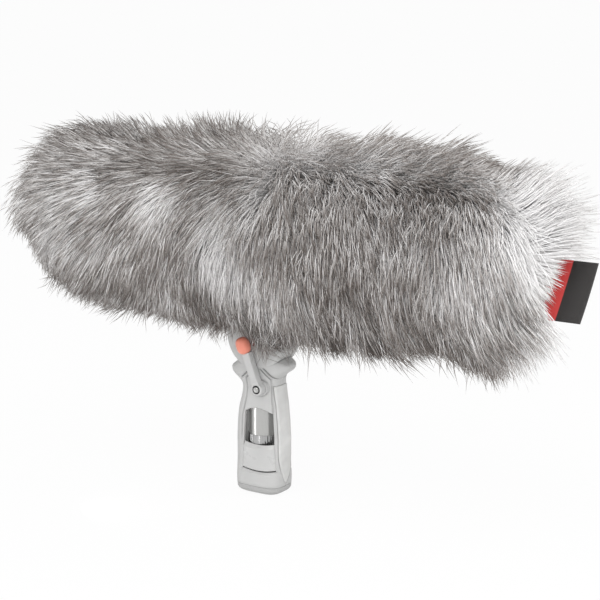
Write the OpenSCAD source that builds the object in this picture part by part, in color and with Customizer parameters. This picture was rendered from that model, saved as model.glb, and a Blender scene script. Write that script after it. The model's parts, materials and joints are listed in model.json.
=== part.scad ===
// Furry windscreen on a pistol grip: a mesh basket in a long-pile fur jacket,
// carried on a tilting head with a locking lever.
// Origin: the middle of the boom socket's mouth under the grip, +X to the rear, +Z up.

/* [Basket] */
// Outer diameter of the basket over its mesh
basket_d = 94; // [90:1:110]
// Length of the straight part of the basket
tube_len = 352; // [320:1:400]
// Depth of each domed end
dome_depth = 36; // [32:1:46]
// How far the basket's middle lies behind the grip
basket_shift = 8; // [0:1:16]
// Wall of the moulded cage
cage_t = 2.4; // [2:0.1:3]
// Thickness of the acoustic mesh
mesh_t = 0.8; // [0.5:0.1:1]
// Number of ribs along the cage
rib_count = 12; // [8:2:16]
// Width of one rib in degrees
rib_deg = 5; // [4:0.5:7]
// Number of hoops round the cage
hoop_count = 9; // [5:2:13]
// Width of one hoop
hoop_w = 5; // [4:0.5:7]
// Width of the solid strip along the bottom of the cage
keel_w = 26; // [22:1:32]
// Length of the ring at each end of the cage
ring_len = 10; // [9:0.5:14]

/* [End caps] */
// How deep the cap's skirt plugs into the ring
skirt_len = 8; // [7:0.5:8.5]
// Wall of the skirt
skirt_t = 2; // [1.6:0.1:3]
// Number of bayonet lugs
lug_count = 3; // [2:1:4]
// Width of one lug in degrees
lug_deg = 10; // [6:1:14]
// Length of one lug along the axis
lug_len = 3; // [2:0.5:3.5]
// Twist that frees the rear cap in degrees
twist_deg = 30; // [15:1:40]
// Number of windows in each dome
dome_windows = 8; // [6:1:10]

/* [Fur jacket] */
// Depth of the lying pile round the basket, short of its loose tips
pile = 27; // [23:1:31]
// Depth of the lying pile over the ends
pile_end = 24; // [20:1:28]
// Place of the parting, in degrees from the top towards the near side
part_deg = 25; // [15:1:35]
// Depth of the furrow at the parting
part_depth = 8; // [5:0.5:10]
// Radius of the furrow's hollow
part_r = 60; // [45:1:75]
// Angle of the end seam at the backing in degrees
seam_deg = 20; // [15:1:30]
// Angle of the end seam at the tips in degrees
seam_tip_deg = 50; // [48:1:55]
// Width of the zip channel under the jacket
zip_w = 16; // [14:1:20]
// Length of the zip
zip_len = 128; // [100:1:135]
// Spacing of the zip teeth
tooth_pitch = 4; // [3:0.5:6]

/* [Label] */
// Length of the sewn label from its seam
label_l = 61; // [55:1:66]
// Width of the label
label_w = 50; // [36:1:54]
// Thickness of the label
label_t = 0.8; // [0.5:0.1:1.2]
// Distance of the label from the axis towards the far side
label_y = 41; // [38:0.5:43]
// Distance of the label below the axis
label_drop = 28.5; // [26:0.5:32]
// Lean of the label in degrees
label_lean = 52.5; // [48:0.5:58]

/* [Grip] */
// Front-to-back width of the grip at its fullest
grip_w = 43; // [42:0.5:48]
// Front-to-back width at the base
base_w = 39; // [38:0.5:42]
// Front-to-back width at the waist
waist_w = 34; // [33:0.5:38]
// Width across the finger stops
flare_w = 55; // [50:0.5:58]
// Front-to-back width of the neck
neck_w = 41; // [38:0.5:43]
// Side-to-side thickness of the grip
grip_t = 32; // [31.5:0.5:36]
// Side-to-side thickness at the waist
waist_t = 29; // [28.5:0.5:31]
// Height of the finger stops
flare_z = 102; // [100:0.5:104]
// Height step from the front finger stop to the rear one
flare_step = 6; // [0:0.5:8]
// Wall of the grip shells
grip_wall = 3; // [2.6:0.1:3.1]
// Top of the hollow in the grip
cavity_top = 78; // [74:0.5:79]
// Height of the base plate
base_h = 6; // [4:0.5:7]
// Height of the base plug inside the shells
plug_h = 3; // [2:0.5:3]
// Width of the side opening at its foot
window_w = 30; // [24:0.5:30]
// Width of the side opening at its top
window_top_w = 24.5; // [20:0.5:27]
// Distance of the side opening behind the grip's middle
window_x = 3.5; // [0:0.5:4]
// Bottom of the side opening
window_z0 = 19.5; // [18:0.5:20]
// Top of the blank plate in the side opening
plate_z1 = 41; // [36:0.5:43]
// Height of the straight sides of the window
window_z1 = 67; // [60:0.5:69]
// Rise of the window's arch
window_rise = 4; // [2:0.5:5]
// Sag of the plate's upper and lower edges
plate_sag = 1.4; // [0:0.1:2]
// Thickness of the back strap
strap_t = 1; // [0.8:0.1:1.2]
// Width of the back strap
strap_w = 18; // [16:0.5:18.5]
// Bottom of the back strap's tongue
strap_z0 = 8; // [7:0.5:14]
// Length of the back strap's tongue
strap_tongue = 26; // [16:0.5:30]
// Top of the back strap
strap_z1 = 89; // [80:0.5:90]

/* [Core and socket] */
// Outer radius of the core tube
core_r = 12; // [11:0.1:12.2]
// Wall of the core tube
core_t = 2; // [1.5:0.1:2.5]
// Bottom of the knurled ring
knurl_z = 40; // [38:0.5:50]
// Height of the knurled ring
knurl_h = 7.5; // [5:0.5:9]
// Radius of the boom socket's thread
socket_r = 4; // [3:0.05:4.8]
// Depth of the boom socket
socket_len = 12; // [9:0.5:16]
// Outer radius of the boom socket insert
insert_r = 7; // [6.2:0.1:8]

/* [Tilt head] */
// Height of the tilt axis
tilt_z = 128; // [124:0.5:134]
// Radius of the head
head_r = 27; // [25:0.5:28]
// Half thickness of the head
head_hw = 14; // [13.5:0.1:14.2]
// Radius of the drum in the head
drum_r = 20; // [18:0.5:20.5]
// Half thickness of the drum
drum_hw = 8; // [7:0.1:8.5]
// Half width of the gap between the cheeks
gap_hw = 9.2; // [9.1:0.1:9.6]
// Gap between the head and the saddle above it
head_gap = 1; // [0.6:0.1:3]
// Thickness of the saddle under the basket
saddle_t = 8; // [7:0.5:14]
// Length of the saddle
saddle_l = 36; // [34:1:40]
// Width of the saddle
saddle_w = 26; // [22:1:28]
// Radius of the tilt bolt
bolt_r = 4; // [3:0.1:5]

/* [Lock lever] */
// Distance of the lever's pivot behind the grip's middle
lever_x = 7; // [5:0.5:7.5]
// Height of the lever's pivot
lever_z = 88; // [86.5:0.5:89]
// Lean of the lever in degrees
lever_lean = 21; // [10:0.5:30]
// Length of the lever's arm
arm_len = 29.6; // [24:0.2:32]
// Width of the lever's arm
arm_w = 7; // [6:0.2:9]
// Radius of the lever's round foot
hub_r = 5.2; // [4.9:0.1:5.6]
// Thickness of the lever's arm
arm_t = 4.6; // [4.5:0.1:6]
// Inner face of the lever from the grip's middle plane
lever_y = 17; // [17:0.1:18]
// Radius of the lever's shaft
shaft_r = 3.5; // [2.8:0.1:4]
// Radius of the brake cam
cam_r = 5; // [4.8:0.1:5.3]
// Eccentricity of the brake cam
cam_e = 1.2; // [0.6:0.1:1.3]
// Half width of the lever's knob
knob_r = 5.6; // [4.5:0.1:5.7]
// Length of the lever's knob
knob_l = 13.6; // [12:0.2:16]

/* [Suspension] */
// Length of the rail
rail_len = 230; // [210:1:260]
// Width of the rail's flange
rail_w = 16; // [14:0.5:16.5]
// Thickness of the rail's flange
rail_t = 2.6; // [2:0.1:3]
// Width of the rail's stem
stem_w = 7; // [6:0.5:8]
// Height of the rail's stem
stem_h = 2.8; // [2.6:0.1:3.4]
// Distance of each lyre from the basket's middle
lyre_x = 70; // [55:1:80]
// Width of a lyre along the rail
lyre_l = 6; // [5:0.5:8]
// Thickness of a lyre's arm
lyre_t = 2.8; // [2:0.1:3.2]
// Diameter of the microphone that the clips hold
mic_d = 19; // [18:0.1:22]
// Wall of a clip
clip_t = 2.4; // [2:0.1:3]
// Width of a clip along the axis
clip_l = 8; // [6:0.5:10]
// Distance of the cable gland behind the grip's middle
gland_x = 27; // [26:0.5:28]
// Bore radius of the cable gland
gland_r = 2.6; // [1.5:0.1:3]

/* [Fits] */
// Gap between fixed pieces
fit = 0.2; // [0.15:0.01:0.25]
// Gap between moving pieces
run = 0.3; // [0.25:0.01:0.4]
// Radial gap of a pin that turns
pin_run = 0.06; // [0.03:0.01:0.08]

/* [Hidden] */
$fn = 48;

// Heights up the stack
saddle_z = tilt_z + head_r + head_gap;
axis_z = saddle_z + saddle_t + basket_d / 2;

// Radii from the mesh inwards
mesh_r = basket_d / 2;
mesh_in = mesh_r - mesh_t;
cage_r = mesh_in - fit;
cage_in = cage_r - cage_t;
skirt_r = cage_in - run;
skirt_in = skirt_r - skirt_t;
half_tube = tube_len / 2;
cage_half = half_tube - ring_len;
keel_deg = 2 * asin(keel_w / 2 / cage_r);
rib_inset = 0.3;

// Bayonet
lug_z = -skirt_len / 2 - 0.5;
lug_r = cage_r - fit * 2;
slot_slack = 1;

// Fur
fur_in = mesh_r + run;
fur_out = mesh_r + pile;
fur_end_in = dome_depth + run;
fur_end_out = dome_depth + pile_end;
part_end = half_tube + 16;

// Opening of the jacket round the head
slot_gap = 2;
pocket_r = head_r + slot_gap;
knob_y = lever_y + 3;
pocket_near = knob_y + knob_r + 4.5;
pocket_far = head_hw + 3;

// Middle of the open lever's knob, seen from the windscreen when it is tilted down to the rear
lever_open = 60;
tilt_max = 30;
knob_far = arm_len + knob_l / 2;
knob_dx = lever_x + knob_far * sin(lever_open - lever_lean);
knob_dz = lever_z + knob_far * cos(lever_open - lever_lean) - tilt_z;
notch_x = knob_dx * cos(tilt_max) - knob_dz * sin(tilt_max);
notch_z = knob_dx * sin(tilt_max) + knob_dz * cos(tilt_max);
notch_r = knob_l / 2 + 4;

// Slot of the jacket round the saddle
slot_front = saddle_l / 2 + 4;
slot_back = gland_x + 7.5;
slot_side = saddle_w / 2 + 2;
binding_t = 1;
binding_h = 4;

// Zip, as heights below the basket's axis
tape_t = 0.8;
tape_top = mesh_r + 1.8;
tape_bottom = tape_top + tape_t;
tooth_h = 1.2;
tooth_w = 1.5;
tooth_l = 2;
post_hw = 0.35;
tooth_y = post_hw + 0.35;
slider_l = 9;
slider_w = 7.2;
slider_t = 1.2;
slider_top = tape_bottom + tooth_h + run;
slider_bottom = slider_top + slider_t;
pin_drop = slider_bottom + 1.8;
zip_x0 = slot_back - basket_shift + 1;
slider_x = zip_x0 + slider_l / 2 + 3;
fin_hw = 0.6;
pull_r = 0.9;
pull_l = 18;

// Grip outline
sup = 2.8;
stations_w = [[0, base_w / 2 - 2], [0.8, base_w / 2 - 0.5], [1.8, base_w / 2 + 0.4], [3, base_w / 2 + 1],
    [10, grip_w / 2 - 0.5], [25, grip_w / 2 - 0.1], [45, grip_w / 2], [58, grip_w / 2 - 0.8],
    [70, (grip_w + waist_w) / 4 + 0.3], [80, waist_w / 2 + 0.8], [flare_z - 12, waist_w / 2],
    [flare_z + 11, neck_w / 2]];
stations_t = [[0, grip_t / 2 - 3.2], [0.8, grip_t / 2 - 1.9], [1.8, grip_t / 2 - 1], [3, grip_t / 2 - 0.5],
    [10, grip_t / 2], [60, grip_t / 2], [80, (grip_t + waist_t) / 4], [90, waist_t / 2],
    [120, waist_t / 2 - 0.7]];
loft_top = flare_z + 10;
strap_cut_z0 = strap_z0 - 9;
strap_cut_z1 = strap_z1 + 12;
plate_cut_z0 = window_z0 - 9;
plate_cut_z1 = plate_z1 + 11;
ring_z = [0, 0.8, 1.8, 3, 6, 10, 18, 26, 36, 45, 52, 58, 64, 70, 75, 80, 84, 87, 89, 91, 93, 95, 96.5, 98,
    99.5, 101, 102.5, 104, 105.5, 107, 108.5, 110, 111];
stop_h = flare_w / 2 - lookup(flare_z, stations_w);
shift_z0 = 55;
shift_z1 = 88;
stop_below = 6.6;
stop_above = 5.6;
function stop_at(d) = stop_h * exp(-pow(abs(d) / (d < 0 ? stop_below : stop_above), 2.6));
function shifted(z, front) =
    z + (front ? 1 : -1) * flare_step / 2 * min(1, max(0, (z - shift_z0) / (shift_z1 - shift_z0)));
function half_w(z, front) =
    lookup(shifted(z, front), stations_w) + stop_at(shifted(z, front) - flare_z);
function half_t(z) = lookup(z, stations_t);
function pw(v) = sign(v) * pow(abs(v), 2 / sup);
function ring_pt(z, t, inset) =
    [(half_w(z, cos(t) < 0) - inset) * pw(cos(t)), (half_t(z) - inset) * pw(sin(t)), z];
function levels(z0, z1) = concat([z0], [for (z = ring_z) if (z > z0 + 0.4 && z < z1 - 0.4) z], [z1]);

// Brake
brake_gap = tilt_z - lever_z;
brake_deg = atan2(lever_x, brake_gap);
brake_len = sqrt(lever_x * lever_x + brake_gap * brake_gap);
shoe_w = 10;
shoe_hw = 4.8;
cam_hw = 4.8;
cam_room = cam_r + cam_e + 0.6;

// Screws of the shells, each as [x, z]
shell_screw_at = [[-15.3, 12.5], [15.3, 12.5], [-9, 83.5]];
screw_r = 1.5;
screw_head_r = 3;
screw_tip_y = 8.5;
screw_seat_y = 8.8;
screw_head_h = 1.5;
boss_r = 2.8;
rail_screw_dx = 10;
rail_screw_r = 2;

// Rail, as heights in the basket's frame
rail_z0 = -(cage_in - 0.4);
flange_z0 = rail_z0 + stem_h;
flange_z1 = flange_z0 + rail_t;
carriage_l = 14;
carriage_hw = rail_w / 2 + 3;
carriage_z0 = flange_z0 - 1.5;
carriage_z1 = flange_z1 + 3.8;
clamp_z = flange_z0 + rail_t / 2;
clip_in = mic_d / 2 + 0.1;
clip_out = clip_in + clip_t;
clip_lug = clip_out + 2;
lyre_z = carriage_z1 + 3;
lyre_reach = cage_in - 0.6;
lyre_steps = 18;

// Turns local +Z to +X, with local +X pointing down
module along_x() { rotate([0, 90, 0]) children(); }

// Puts things in the basket's frame
module in_basket() { translate([basket_shift, 0, axis_z]) children(); }

// Turns local +Z to -Y
module along_y(y0, y1, r) {
    translate([0, y1, 0])
        rotate([90, 0, 0])
            cylinder(h = y1 - y0, r = r);
}

// Arc sector of a tube round the local Z axis
module sector(r0, r1, z0, z1, a0, a1) {
    rotate([0, 0, a0])
        rotate_extrude(angle = a1 - a0)
            translate([r0, z0])
                square([r1 - r0, z1 - z0]);
}

// Plain tube round the local Z axis
module tube(r0, r1, z0, z1) {
    rotate_extrude()
        translate([r0, z0])
            square([r1 - r0, z1 - z0]);
}

// Whole lofted body of the grip
module loft(inset, z0, z1) {
    zs = levels(z0, z1);
    m = 32;
    n = len(zs);
    pts = [for (z = zs) for (i = [0 : m - 1]) ring_pt(z, (i + 0.5) * 360 / m, inset)];
    sides = [for (k = [0 : n - 2]) for (i = [0 : m - 1]) each [
        [k * m + i, (k + 1) * m + i, (k + 1) * m + (i + 1) % m],
        [k * m + i, (k + 1) * m + (i + 1) % m, k * m + (i + 1) % m]]];
    bottom = [[for (i = [0 : m - 1]) i]];
    top = [[for (i = [0 : m - 1]) n * m - 1 - i]];
    polyhedron(points = pts, faces = concat(bottom, top, sides));
}

// Half of the lofted body, on the near side of the middle plane
module half_loft(inset, z0, z1) {
    zs = levels(z0, z1);
    m = 17;
    n = len(zs);
    pts = [for (z = zs) for (i = [0 : m - 1]) ring_pt(z, 180 + i * 180 / (m - 1), inset)];
    sides = [for (k = [0 : n - 2]) for (i = [0 : m - 2]) each [
        [k * m + i, (k + 1) * m + i, (k + 1) * m + i + 1],
        [k * m + i, (k + 1) * m + i + 1, k * m + i + 1]]];
    cut = [for (k = [0 : n - 2]) each [
        [k * m + m - 1, (k + 1) * m + m - 1, (k + 1) * m],
        [k * m + m - 1, (k + 1) * m, k * m]]];
    bottom = [[for (i = [0 : m - 1]) i]];
    top = [[for (i = [0 : m - 1]) n * m - 1 - i]];
    polyhedron(points = pts, faces = concat(bottom, top, sides, cut));
}

// Side opening, as a solid through the near wall
module side_opening(z0, z1, gap, arched) {
    foot = window_w / 2 - gap;
    head = lookup(z1, [[window_z0, window_w / 2], [window_z1, window_top_w / 2]]) - gap;
    bow = arched ? window_rise : -plate_sag;
    steps = [-1 : 0.25 : 1];
    lower = [for (u = steps) [foot * u, z0 + gap - plate_sag * (1 - u * u)]];
    upper = [for (u = steps) [-head * u, z1 - gap + bow * (1 - u * u)]];
    translate([window_x, 0, 0])
        rotate([90, 0, 0])
            translate([0, 0, 6])
                linear_extrude(height = 16)
                    polygon(concat(lower, upper));
}

// Tongue-shaped place of the back strap
module strap_place(gap) {
    hw = strap_w / 2 + gap;
    tip = strap_z0 - gap;
    tongue = [for (u = [0 : 0.125 : 1]) [hw * pow(1 - pow(1 - u, 2), 0.8), tip + strap_tongue * u]];
    left = [for (i = [len(tongue) - 1 : -1 : 1]) [-tongue[i][0], tongue[i][1]]];
    translate([4, 0, 0])
        rotate([90, 0, 90])
            linear_extrude(height = 34)
                polygon(concat(tongue, [[hw, strap_z1 + gap], [-hw, strap_z1 + gap]], left));
}

module strap_recess() {
    difference() {
        strap_place(fit / 2);
        loft(strap_t + 0.1, strap_cut_z0, strap_cut_z1);
    }
}

// Places of the lever and the brake
module lever_frame() { translate([lever_x, 0, lever_z]) rotate([0, -lever_lean, 0]) children(); }
module brake_frame() { translate([lever_x, 0, lever_z]) rotate([0, -brake_deg, 0]) children(); }

// Room for the drum, the cam and the brake shoe
module head_room() {
    translate([0, 0, tilt_z])
        along_y(-gap_hw, gap_hw, drum_r + 0.6);
    translate([-head_r - 2, -gap_hw, tilt_z - 4])
        cube([2 * head_r + 4, 2 * gap_hw, head_r + 8]);
    translate([lever_x, 0, lever_z])
        along_y(-cam_hw - run, cam_hw + run, cam_room);
    brake_frame()
        translate([-shoe_w / 2 - run, -shoe_hw - run, 0])
            cube([shoe_w + 2 * run, 2 * (shoe_hw + run), brake_len - drum_r + 1.5]);
}

// Half of the grip without the fastenings of its own side
module grip_half() {
    difference() {
        union() {
            half_loft(0, base_h, loft_top);
            translate([0, 0, tilt_z])
                along_y(-head_hw, 0, head_r);
        }
        difference() {
            loft(grip_wall, base_h - 1, cavity_top + fit);
            for (p = shell_screw_at)
                translate([p[0], 0, p[1]])
                    along_y(-grip_t, 1, boss_r);
        }
        side_opening(window_z0, window_z1, 0, true);
        head_room();
    }
}

module grip_near_shell() {
    color("#c9c9c7")
        difference() {
            union() {
                grip_half();
                translate([lever_x, 0, lever_z])
                    along_y(-lever_y + run, -9, 6.5);
            }
            strap_recess();
            translate([lever_x, 0, lever_z])
                along_y(-lever_y, 1, shaft_r + pin_run);
            translate([lever_x, 0, lever_z])
                along_y(-cam_hw - run, 1, cam_room);
            translate([0, 0, tilt_z])
                along_y(-head_hw - 1, 1, bolt_r + pin_run);
            translate([0, 0, tilt_z])
                along_y(-head_hw - 1, -head_hw + 3.1, 7.2);
            for (p = shell_screw_at)
                translate([p[0], 0, p[1]])
                    along_y(-screw_tip_y - 0.5, 1, screw_r + 0.05);
        }
}

module grip_far_shell() {
    color("#c4c4c2")
        difference() {
            mirror([0, 1, 0])
                grip_half();
            strap_recess();
            translate([lever_x, 0, lever_z])
                along_y(-1, 10, shaft_r + pin_run);
            translate([0, 0, tilt_z])
                along_y(-1, head_hw + 1, bolt_r + pin_run);
            translate([0, 0, tilt_z])
                along_y(head_hw - 3.1, head_hw + 1, 7.2);
            for (p = shell_screw_at) {
                translate([p[0], 0, p[1]])
                    along_y(-1, grip_t, screw_r + 0.15);
                translate([p[0], 0, p[1]])
                    along_y(screw_seat_y - 0.1, grip_t, screw_head_r + 0.2);
            }
        }
}

module grip_back_strap() {
    color("#d8d8d6")
        intersection() {
            difference() {
                loft(0, strap_cut_z0 + 1, strap_cut_z1 - 1);
                loft(strap_t, strap_cut_z0, strap_cut_z1);
            }
            strap_place(-fit / 2);
        }
}

module core_tube() {
    color("#e4e6e8")
        translate([0, 0, base_h + plug_h])
            tube(core_r - core_t, core_r, 0, cavity_top - base_h - plug_h);
}

module knurled_ring() {
    tips = 40;
    color("#c8cacc")
        translate([0, 0, knurl_z])
            difference() {
                linear_extrude(height = knurl_h)
                    polygon([for (i = [0 : 2 * tips - 1])
                        (core_r + (i % 2 == 0 ? 0.75 : 0.45)) * [cos(i * 180 / tips), sin(i * 180 / tips)]]);
                translate([0, 0, -1])
                    cylinder(h = knurl_h + 2, r = core_r + 0.05, $fn = 180);
            }
}

// Bare plate that fills the lower part of a side opening
module blank_plate() {
    color("#b4b4b2")
        intersection() {
            difference() {
                half_loft(0.3, plate_cut_z0 + 1, plate_cut_z1 - 1);
                loft(grip_wall - 0.4, plate_cut_z0, plate_cut_z1);
            }
            side_opening(window_z0, plate_z1, fit / 2, false);
        }
}

module near_plate() { blank_plate(); }

module far_plate() { mirror([0, 1, 0]) blank_plate(); }

module base_cap() {
    color("#bdbdbb")
        difference() {
            union() {
                loft(0, 0, base_h);
                loft(grip_wall + fit, base_h - 0.1, base_h + plug_h);
            }
            translate([0, 0, -1])
                cylinder(h = plug_h + base_h + 2, r = insert_r + 0.05);
        }
}

module socket_insert() {
    color("#b79a5b")
        tube(socket_r, insert_r, 0, socket_len);
}

module shell_screws() {
    color("#8d9094")
        for (p = shell_screw_at)
            translate([p[0], 0, p[1]])
                union() {
                    along_y(-screw_tip_y, screw_seat_y + 0.2, screw_r);
                    along_y(screw_seat_y, screw_seat_y + screw_head_h, screw_head_r);
                }
}

module tilt_bolt() {
    color("#9a9da1")
        translate([0, 0, tilt_z])
            union() {
                along_y(-head_hw + 0.5, head_hw - 0.5, bolt_r);
                along_y(-head_hw, -head_hw + 3, 7);
            }
}

module tilt_nut() {
    color("#9a9da1")
        translate([0, 0, tilt_z])
            difference() {
                translate([0, head_hw, 0])
                    rotate([90, 0, 0])
                        cylinder(h = 3, r = 7, $fn = 6);
                along_y(head_hw - 4, head_hw + 1, bolt_r + 0.05);
            }
}

module friction_washers() {
    color("#55575a")
        for (s = [-1, 1])
            translate([0, s * (drum_hw + gap_hw) / 2 + 0.45, tilt_z])
                rotate([90, 0, 0])
                    tube(bolt_r + 0.3, drum_r - 5, 0, 0.9);
}

module lock_lever() {
    yc = -lever_y - arm_t / 2;
    color("#bfbfbd")
        lever_frame()
            difference() {
                union() {
                    along_y(-lever_y - arm_t, -lever_y, hub_r);
                    translate([0, -lever_y, 0])
                        rotate([90, 0, 0])
                            linear_extrude(height = arm_t)
                                translate([-arm_w / 2, 0])
                                    square([arm_w, arm_len]);
                    translate([0, yc, arm_len - 1])
                        cylinder(h = 7, r = 2);
                }
                along_y(-lever_y - arm_t - 1, -lever_y + 1, shaft_r + 0.05);
            }
}

// Round-ended knob as a turned shape
module lever_knob() {
    neck = knob_l - 2 * knob_r;
    color("#e8704f")
        lever_frame()
            difference() {
                translate([0, -knob_y, arm_len])
                    rotate_extrude()
                        polygon(concat([[0, 0]],
                            [for (i = [1 : 8]) [knob_r * sin(i * 11.25), knob_r * (1 - cos(i * 11.25))]],
                            [for (i = [8 : -1 : 1])
                                [knob_r * sin(i * 11.25), knob_r + neck + knob_r * cos(i * 11.25)]],
                            [[0, knob_l]]));
                translate([0, -lever_y - arm_t / 2, arm_len - 1])
                    cylinder(h = 7.2, r = 2.05);
                translate([-8, -lever_y - arm_t - 0.1, arm_len - 2])
                    cube([16, arm_t + 0.2, 2.1]);
            }
}

module lever_shaft() {
    color("#8d9094")
        translate([lever_x, 0, lever_z])
            difference() {
                union() {
                    along_y(-lever_y - arm_t + 0.2, 9.5, shaft_r);
                    translate([-cam_e * sin(brake_deg), 0, cam_e * cos(brake_deg)])
                        along_y(-cam_hw, cam_hw, cam_r);
                }
                along_y(-lever_y - arm_t - 1, -lever_y + 6, 1.55);
            }
}

module lever_screw() {
    color("#e4e6e8")
        translate([lever_x, -lever_y - arm_t, lever_z])
            union() {
                along_y(-0.1, 9, 1.5);
                rotate([90, 0, 0])
                    rotate_extrude()
                        polygon(concat([[0, 0], [4.4, 0]],
                            [for (i = [1 : 5]) [4.4 * cos(i * 15), 0.4 + 1.6 * sin(i * 15)]], [[0, 2]]));
            }
}

module brake_shoe() {
    color("#5a4a3a")
        difference() {
            brake_frame()
                translate([-shoe_w / 2, -shoe_hw, cam_r + cam_e + 0.2])
                    cube([shoe_w, 2 * shoe_hw, brake_len - drum_r - cam_r - cam_e + 1]);
            translate([0, 0, tilt_z])
                along_y(-shoe_hw - 1, shoe_hw + 1, drum_r + 0.2);
        }
}

module tilt_knuckle() {
    color("#3c3e40")
        difference() {
            union() {
                translate([0, 0, tilt_z])
                    along_y(-drum_hw, drum_hw, drum_r);
                translate([-10, -drum_hw, tilt_z])
                    cube([20, 2 * drum_hw, saddle_z - tilt_z + 2]);
                translate([-saddle_l / 2, -saddle_w / 2, saddle_z])
                    cube([saddle_l, saddle_w, saddle_t + 1.5]);
            }
            translate([-saddle_l, 0, axis_z])
                along_x()
                    cylinder(h = 2 * saddle_l, r = mesh_r + fit);
            translate([0, 0, tilt_z])
                along_y(-drum_hw - 1, drum_hw + 1, bolt_r + pin_run);
            for (s = [-1, 1])
                translate([s * rail_screw_dx, 0, saddle_z + 1.5])
                    cylinder(h = saddle_t + 6, r = rail_screw_r + 0.05);
        }
}

// Holes through the bottom of the basket, for the rail screws and the cable gland
module bottom_holes(extra) {
    for (s = [-1, 1])
        translate([s * rail_screw_dx - basket_shift, 0, -mesh_r - 4])
            cylinder(h = 14, r = rail_screw_r + 0.2);
    translate([gland_x - basket_shift, 0, -mesh_r - 4])
        cylinder(h = 14, r = gland_r + extra);
}

module basket_cage() {
    pitch = (2 * cage_half - hoop_w) / (hoop_count - 1);
    color("#2f3133")
        in_basket()
            difference() {
                along_x()
                    union() {
                        for (i = [0 : hoop_count - 1])
                            tube(cage_in, cage_r, -cage_half + i * pitch, -cage_half + i * pitch + hoop_w);
                        for (i = [1 : rib_count - 1])
                            sector(cage_in + rib_inset, cage_r - rib_inset, -cage_half + 1, cage_half - 1,
                                i * 360 / rib_count - rib_deg / 2, i * 360 / rib_count + rib_deg / 2);
                        sector(cage_in + rib_inset, cage_r - rib_inset, -cage_half + 1, cage_half - 1,
                            -keel_deg / 2, keel_deg / 2);
                    }
                bottom_holes(3);
            }
}

module basket_mesh() {
    color("#4a4c4e")
        in_basket()
            difference() {
                along_x()
                    tube(mesh_in, mesh_r, -half_tube, half_tube);
                bottom_holes(3);
            }
}

// Ring with bayonet slots, drawn for the rear end
module end_ring() {
    z = half_tube + lug_z;
    difference() {
        tube(cage_in, cage_r, cage_half, half_tube);
        for (i = [0 : lug_count - 1])
            union() {
                sector(cage_in - 1, cage_r + 1, z - lug_len / 2 - run, z + lug_len / 2 + run,
                    i * 360 / lug_count + 60 - lug_deg / 2 - slot_slack,
                    i * 360 / lug_count + 60 + lug_deg / 2 + twist_deg + slot_slack);
                sector(cage_in - 1.5, cage_r + 1.5, z, half_tube + 1,
                    i * 360 / lug_count + 60 - lug_deg / 2 + twist_deg - slot_slack / 2,
                    i * 360 / lug_count + 60 + lug_deg / 2 + twist_deg + slot_slack / 2);
            }
    }
}

module rear_ring() { color("#2a2c2e") in_basket() along_x() end_ring(); }

module front_ring() { color("#2a2c2e") in_basket() mirror([1, 0, 0]) along_x() end_ring(); }

// Domed cap frame, drawn for the rear end
module cap_frame() {
    depth = dome_depth - mesh_t - fit;
    n = 9;
    translate([0, 0, half_tube])
        difference() {
            union() {
                rotate_extrude()
                    polygon(concat([[skirt_in, -skirt_len], [skirt_r, -skirt_len], [skirt_r, run],
                        [cage_r, run]],
                        [for (i = [1 : n]) [cage_r * cos(i * 90 / n), depth * sin(i * 90 / n)]],
                        [for (i = [n : -1 : 1])
                            [skirt_in * cos(i * 90 / n), (depth - cage_t) * sin(i * 90 / n)]]));
                for (i = [0 : lug_count - 1])
                    sector(skirt_r - 0.5, lug_r, lug_z - lug_len / 2, lug_z + lug_len / 2,
                        i * 360 / lug_count + 60 - lug_deg / 2, i * 360 / lug_count + 60 + lug_deg / 2);
            }
            for (i = [0 : dome_windows - 1])
                sector(cage_r * 0.3, cage_r * 0.8, 2, dome_depth + 2,
                    i * 360 / dome_windows, (i + 0.7) * 360 / dome_windows);
        }
}

// Mesh over a cap, drawn for the rear end
module cap_mesh() {
    n = 9;
    translate([0, 0, half_tube])
        rotate_extrude()
            polygon(concat([[mesh_in, run], [mesh_r, run]],
                [for (i = [1 : n]) [mesh_r * cos(i * 90 / n), dome_depth * sin(i * 90 / n)]],
                [for (i = [n : -1 : 1])
                    [mesh_in * cos(i * 90 / n), (dome_depth - mesh_t) * sin(i * 90 / n)]]));
}

module rear_cap() { color("#2f3133") in_basket() along_x() cap_frame(); }

module rear_cap_mesh() { color("#4a4c4e") in_basket() along_x() cap_mesh(); }

module front_cap() { color("#2f3133") in_basket() mirror([1, 0, 0]) along_x() cap_frame(); }

module front_cap_mesh() { color("#4a4c4e") in_basket() mirror([1, 0, 0]) along_x() cap_mesh(); }

module suspension_rail() {
    color("#1f2022")
        in_basket()
            difference() {
                translate([-rail_len / 2, 0, 0])
                    rotate([90, 0, 90])
                        linear_extrude(height = rail_len)
                            polygon([[-stem_w / 2, rail_z0], [stem_w / 2, rail_z0], [stem_w / 2, flange_z0],
                                [rail_w / 2, flange_z0], [rail_w / 2, flange_z1], [-rail_w / 2, flange_z1],
                                [-rail_w / 2, flange_z0], [-stem_w / 2, flange_z0]]);
                for (s = [-1, 1])
                    translate([s * rail_screw_dx - basket_shift, 0, rail_z0 - 1])
                        cylinder(h = 12, r = rail_screw_r + 0.1);
                translate([gland_x - basket_shift, 0, rail_z0 - 1])
                    cylinder(h = 12, r = gland_r + 0.6);
            }
}

module rail_screws() {
    color("#8d9094")
        in_basket()
            for (s = [-1, 1])
                translate([s * rail_screw_dx - basket_shift, 0, 0])
                    union() {
                        translate([0, 0, -mesh_r - 5])
                            cylinder(h = flange_z1 + mesh_r + 5.5, r = rail_screw_r);
                        translate([0, 0, flange_z1])
                            cylinder(h = 2.2, r = 3.4);
                    }
}

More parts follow.
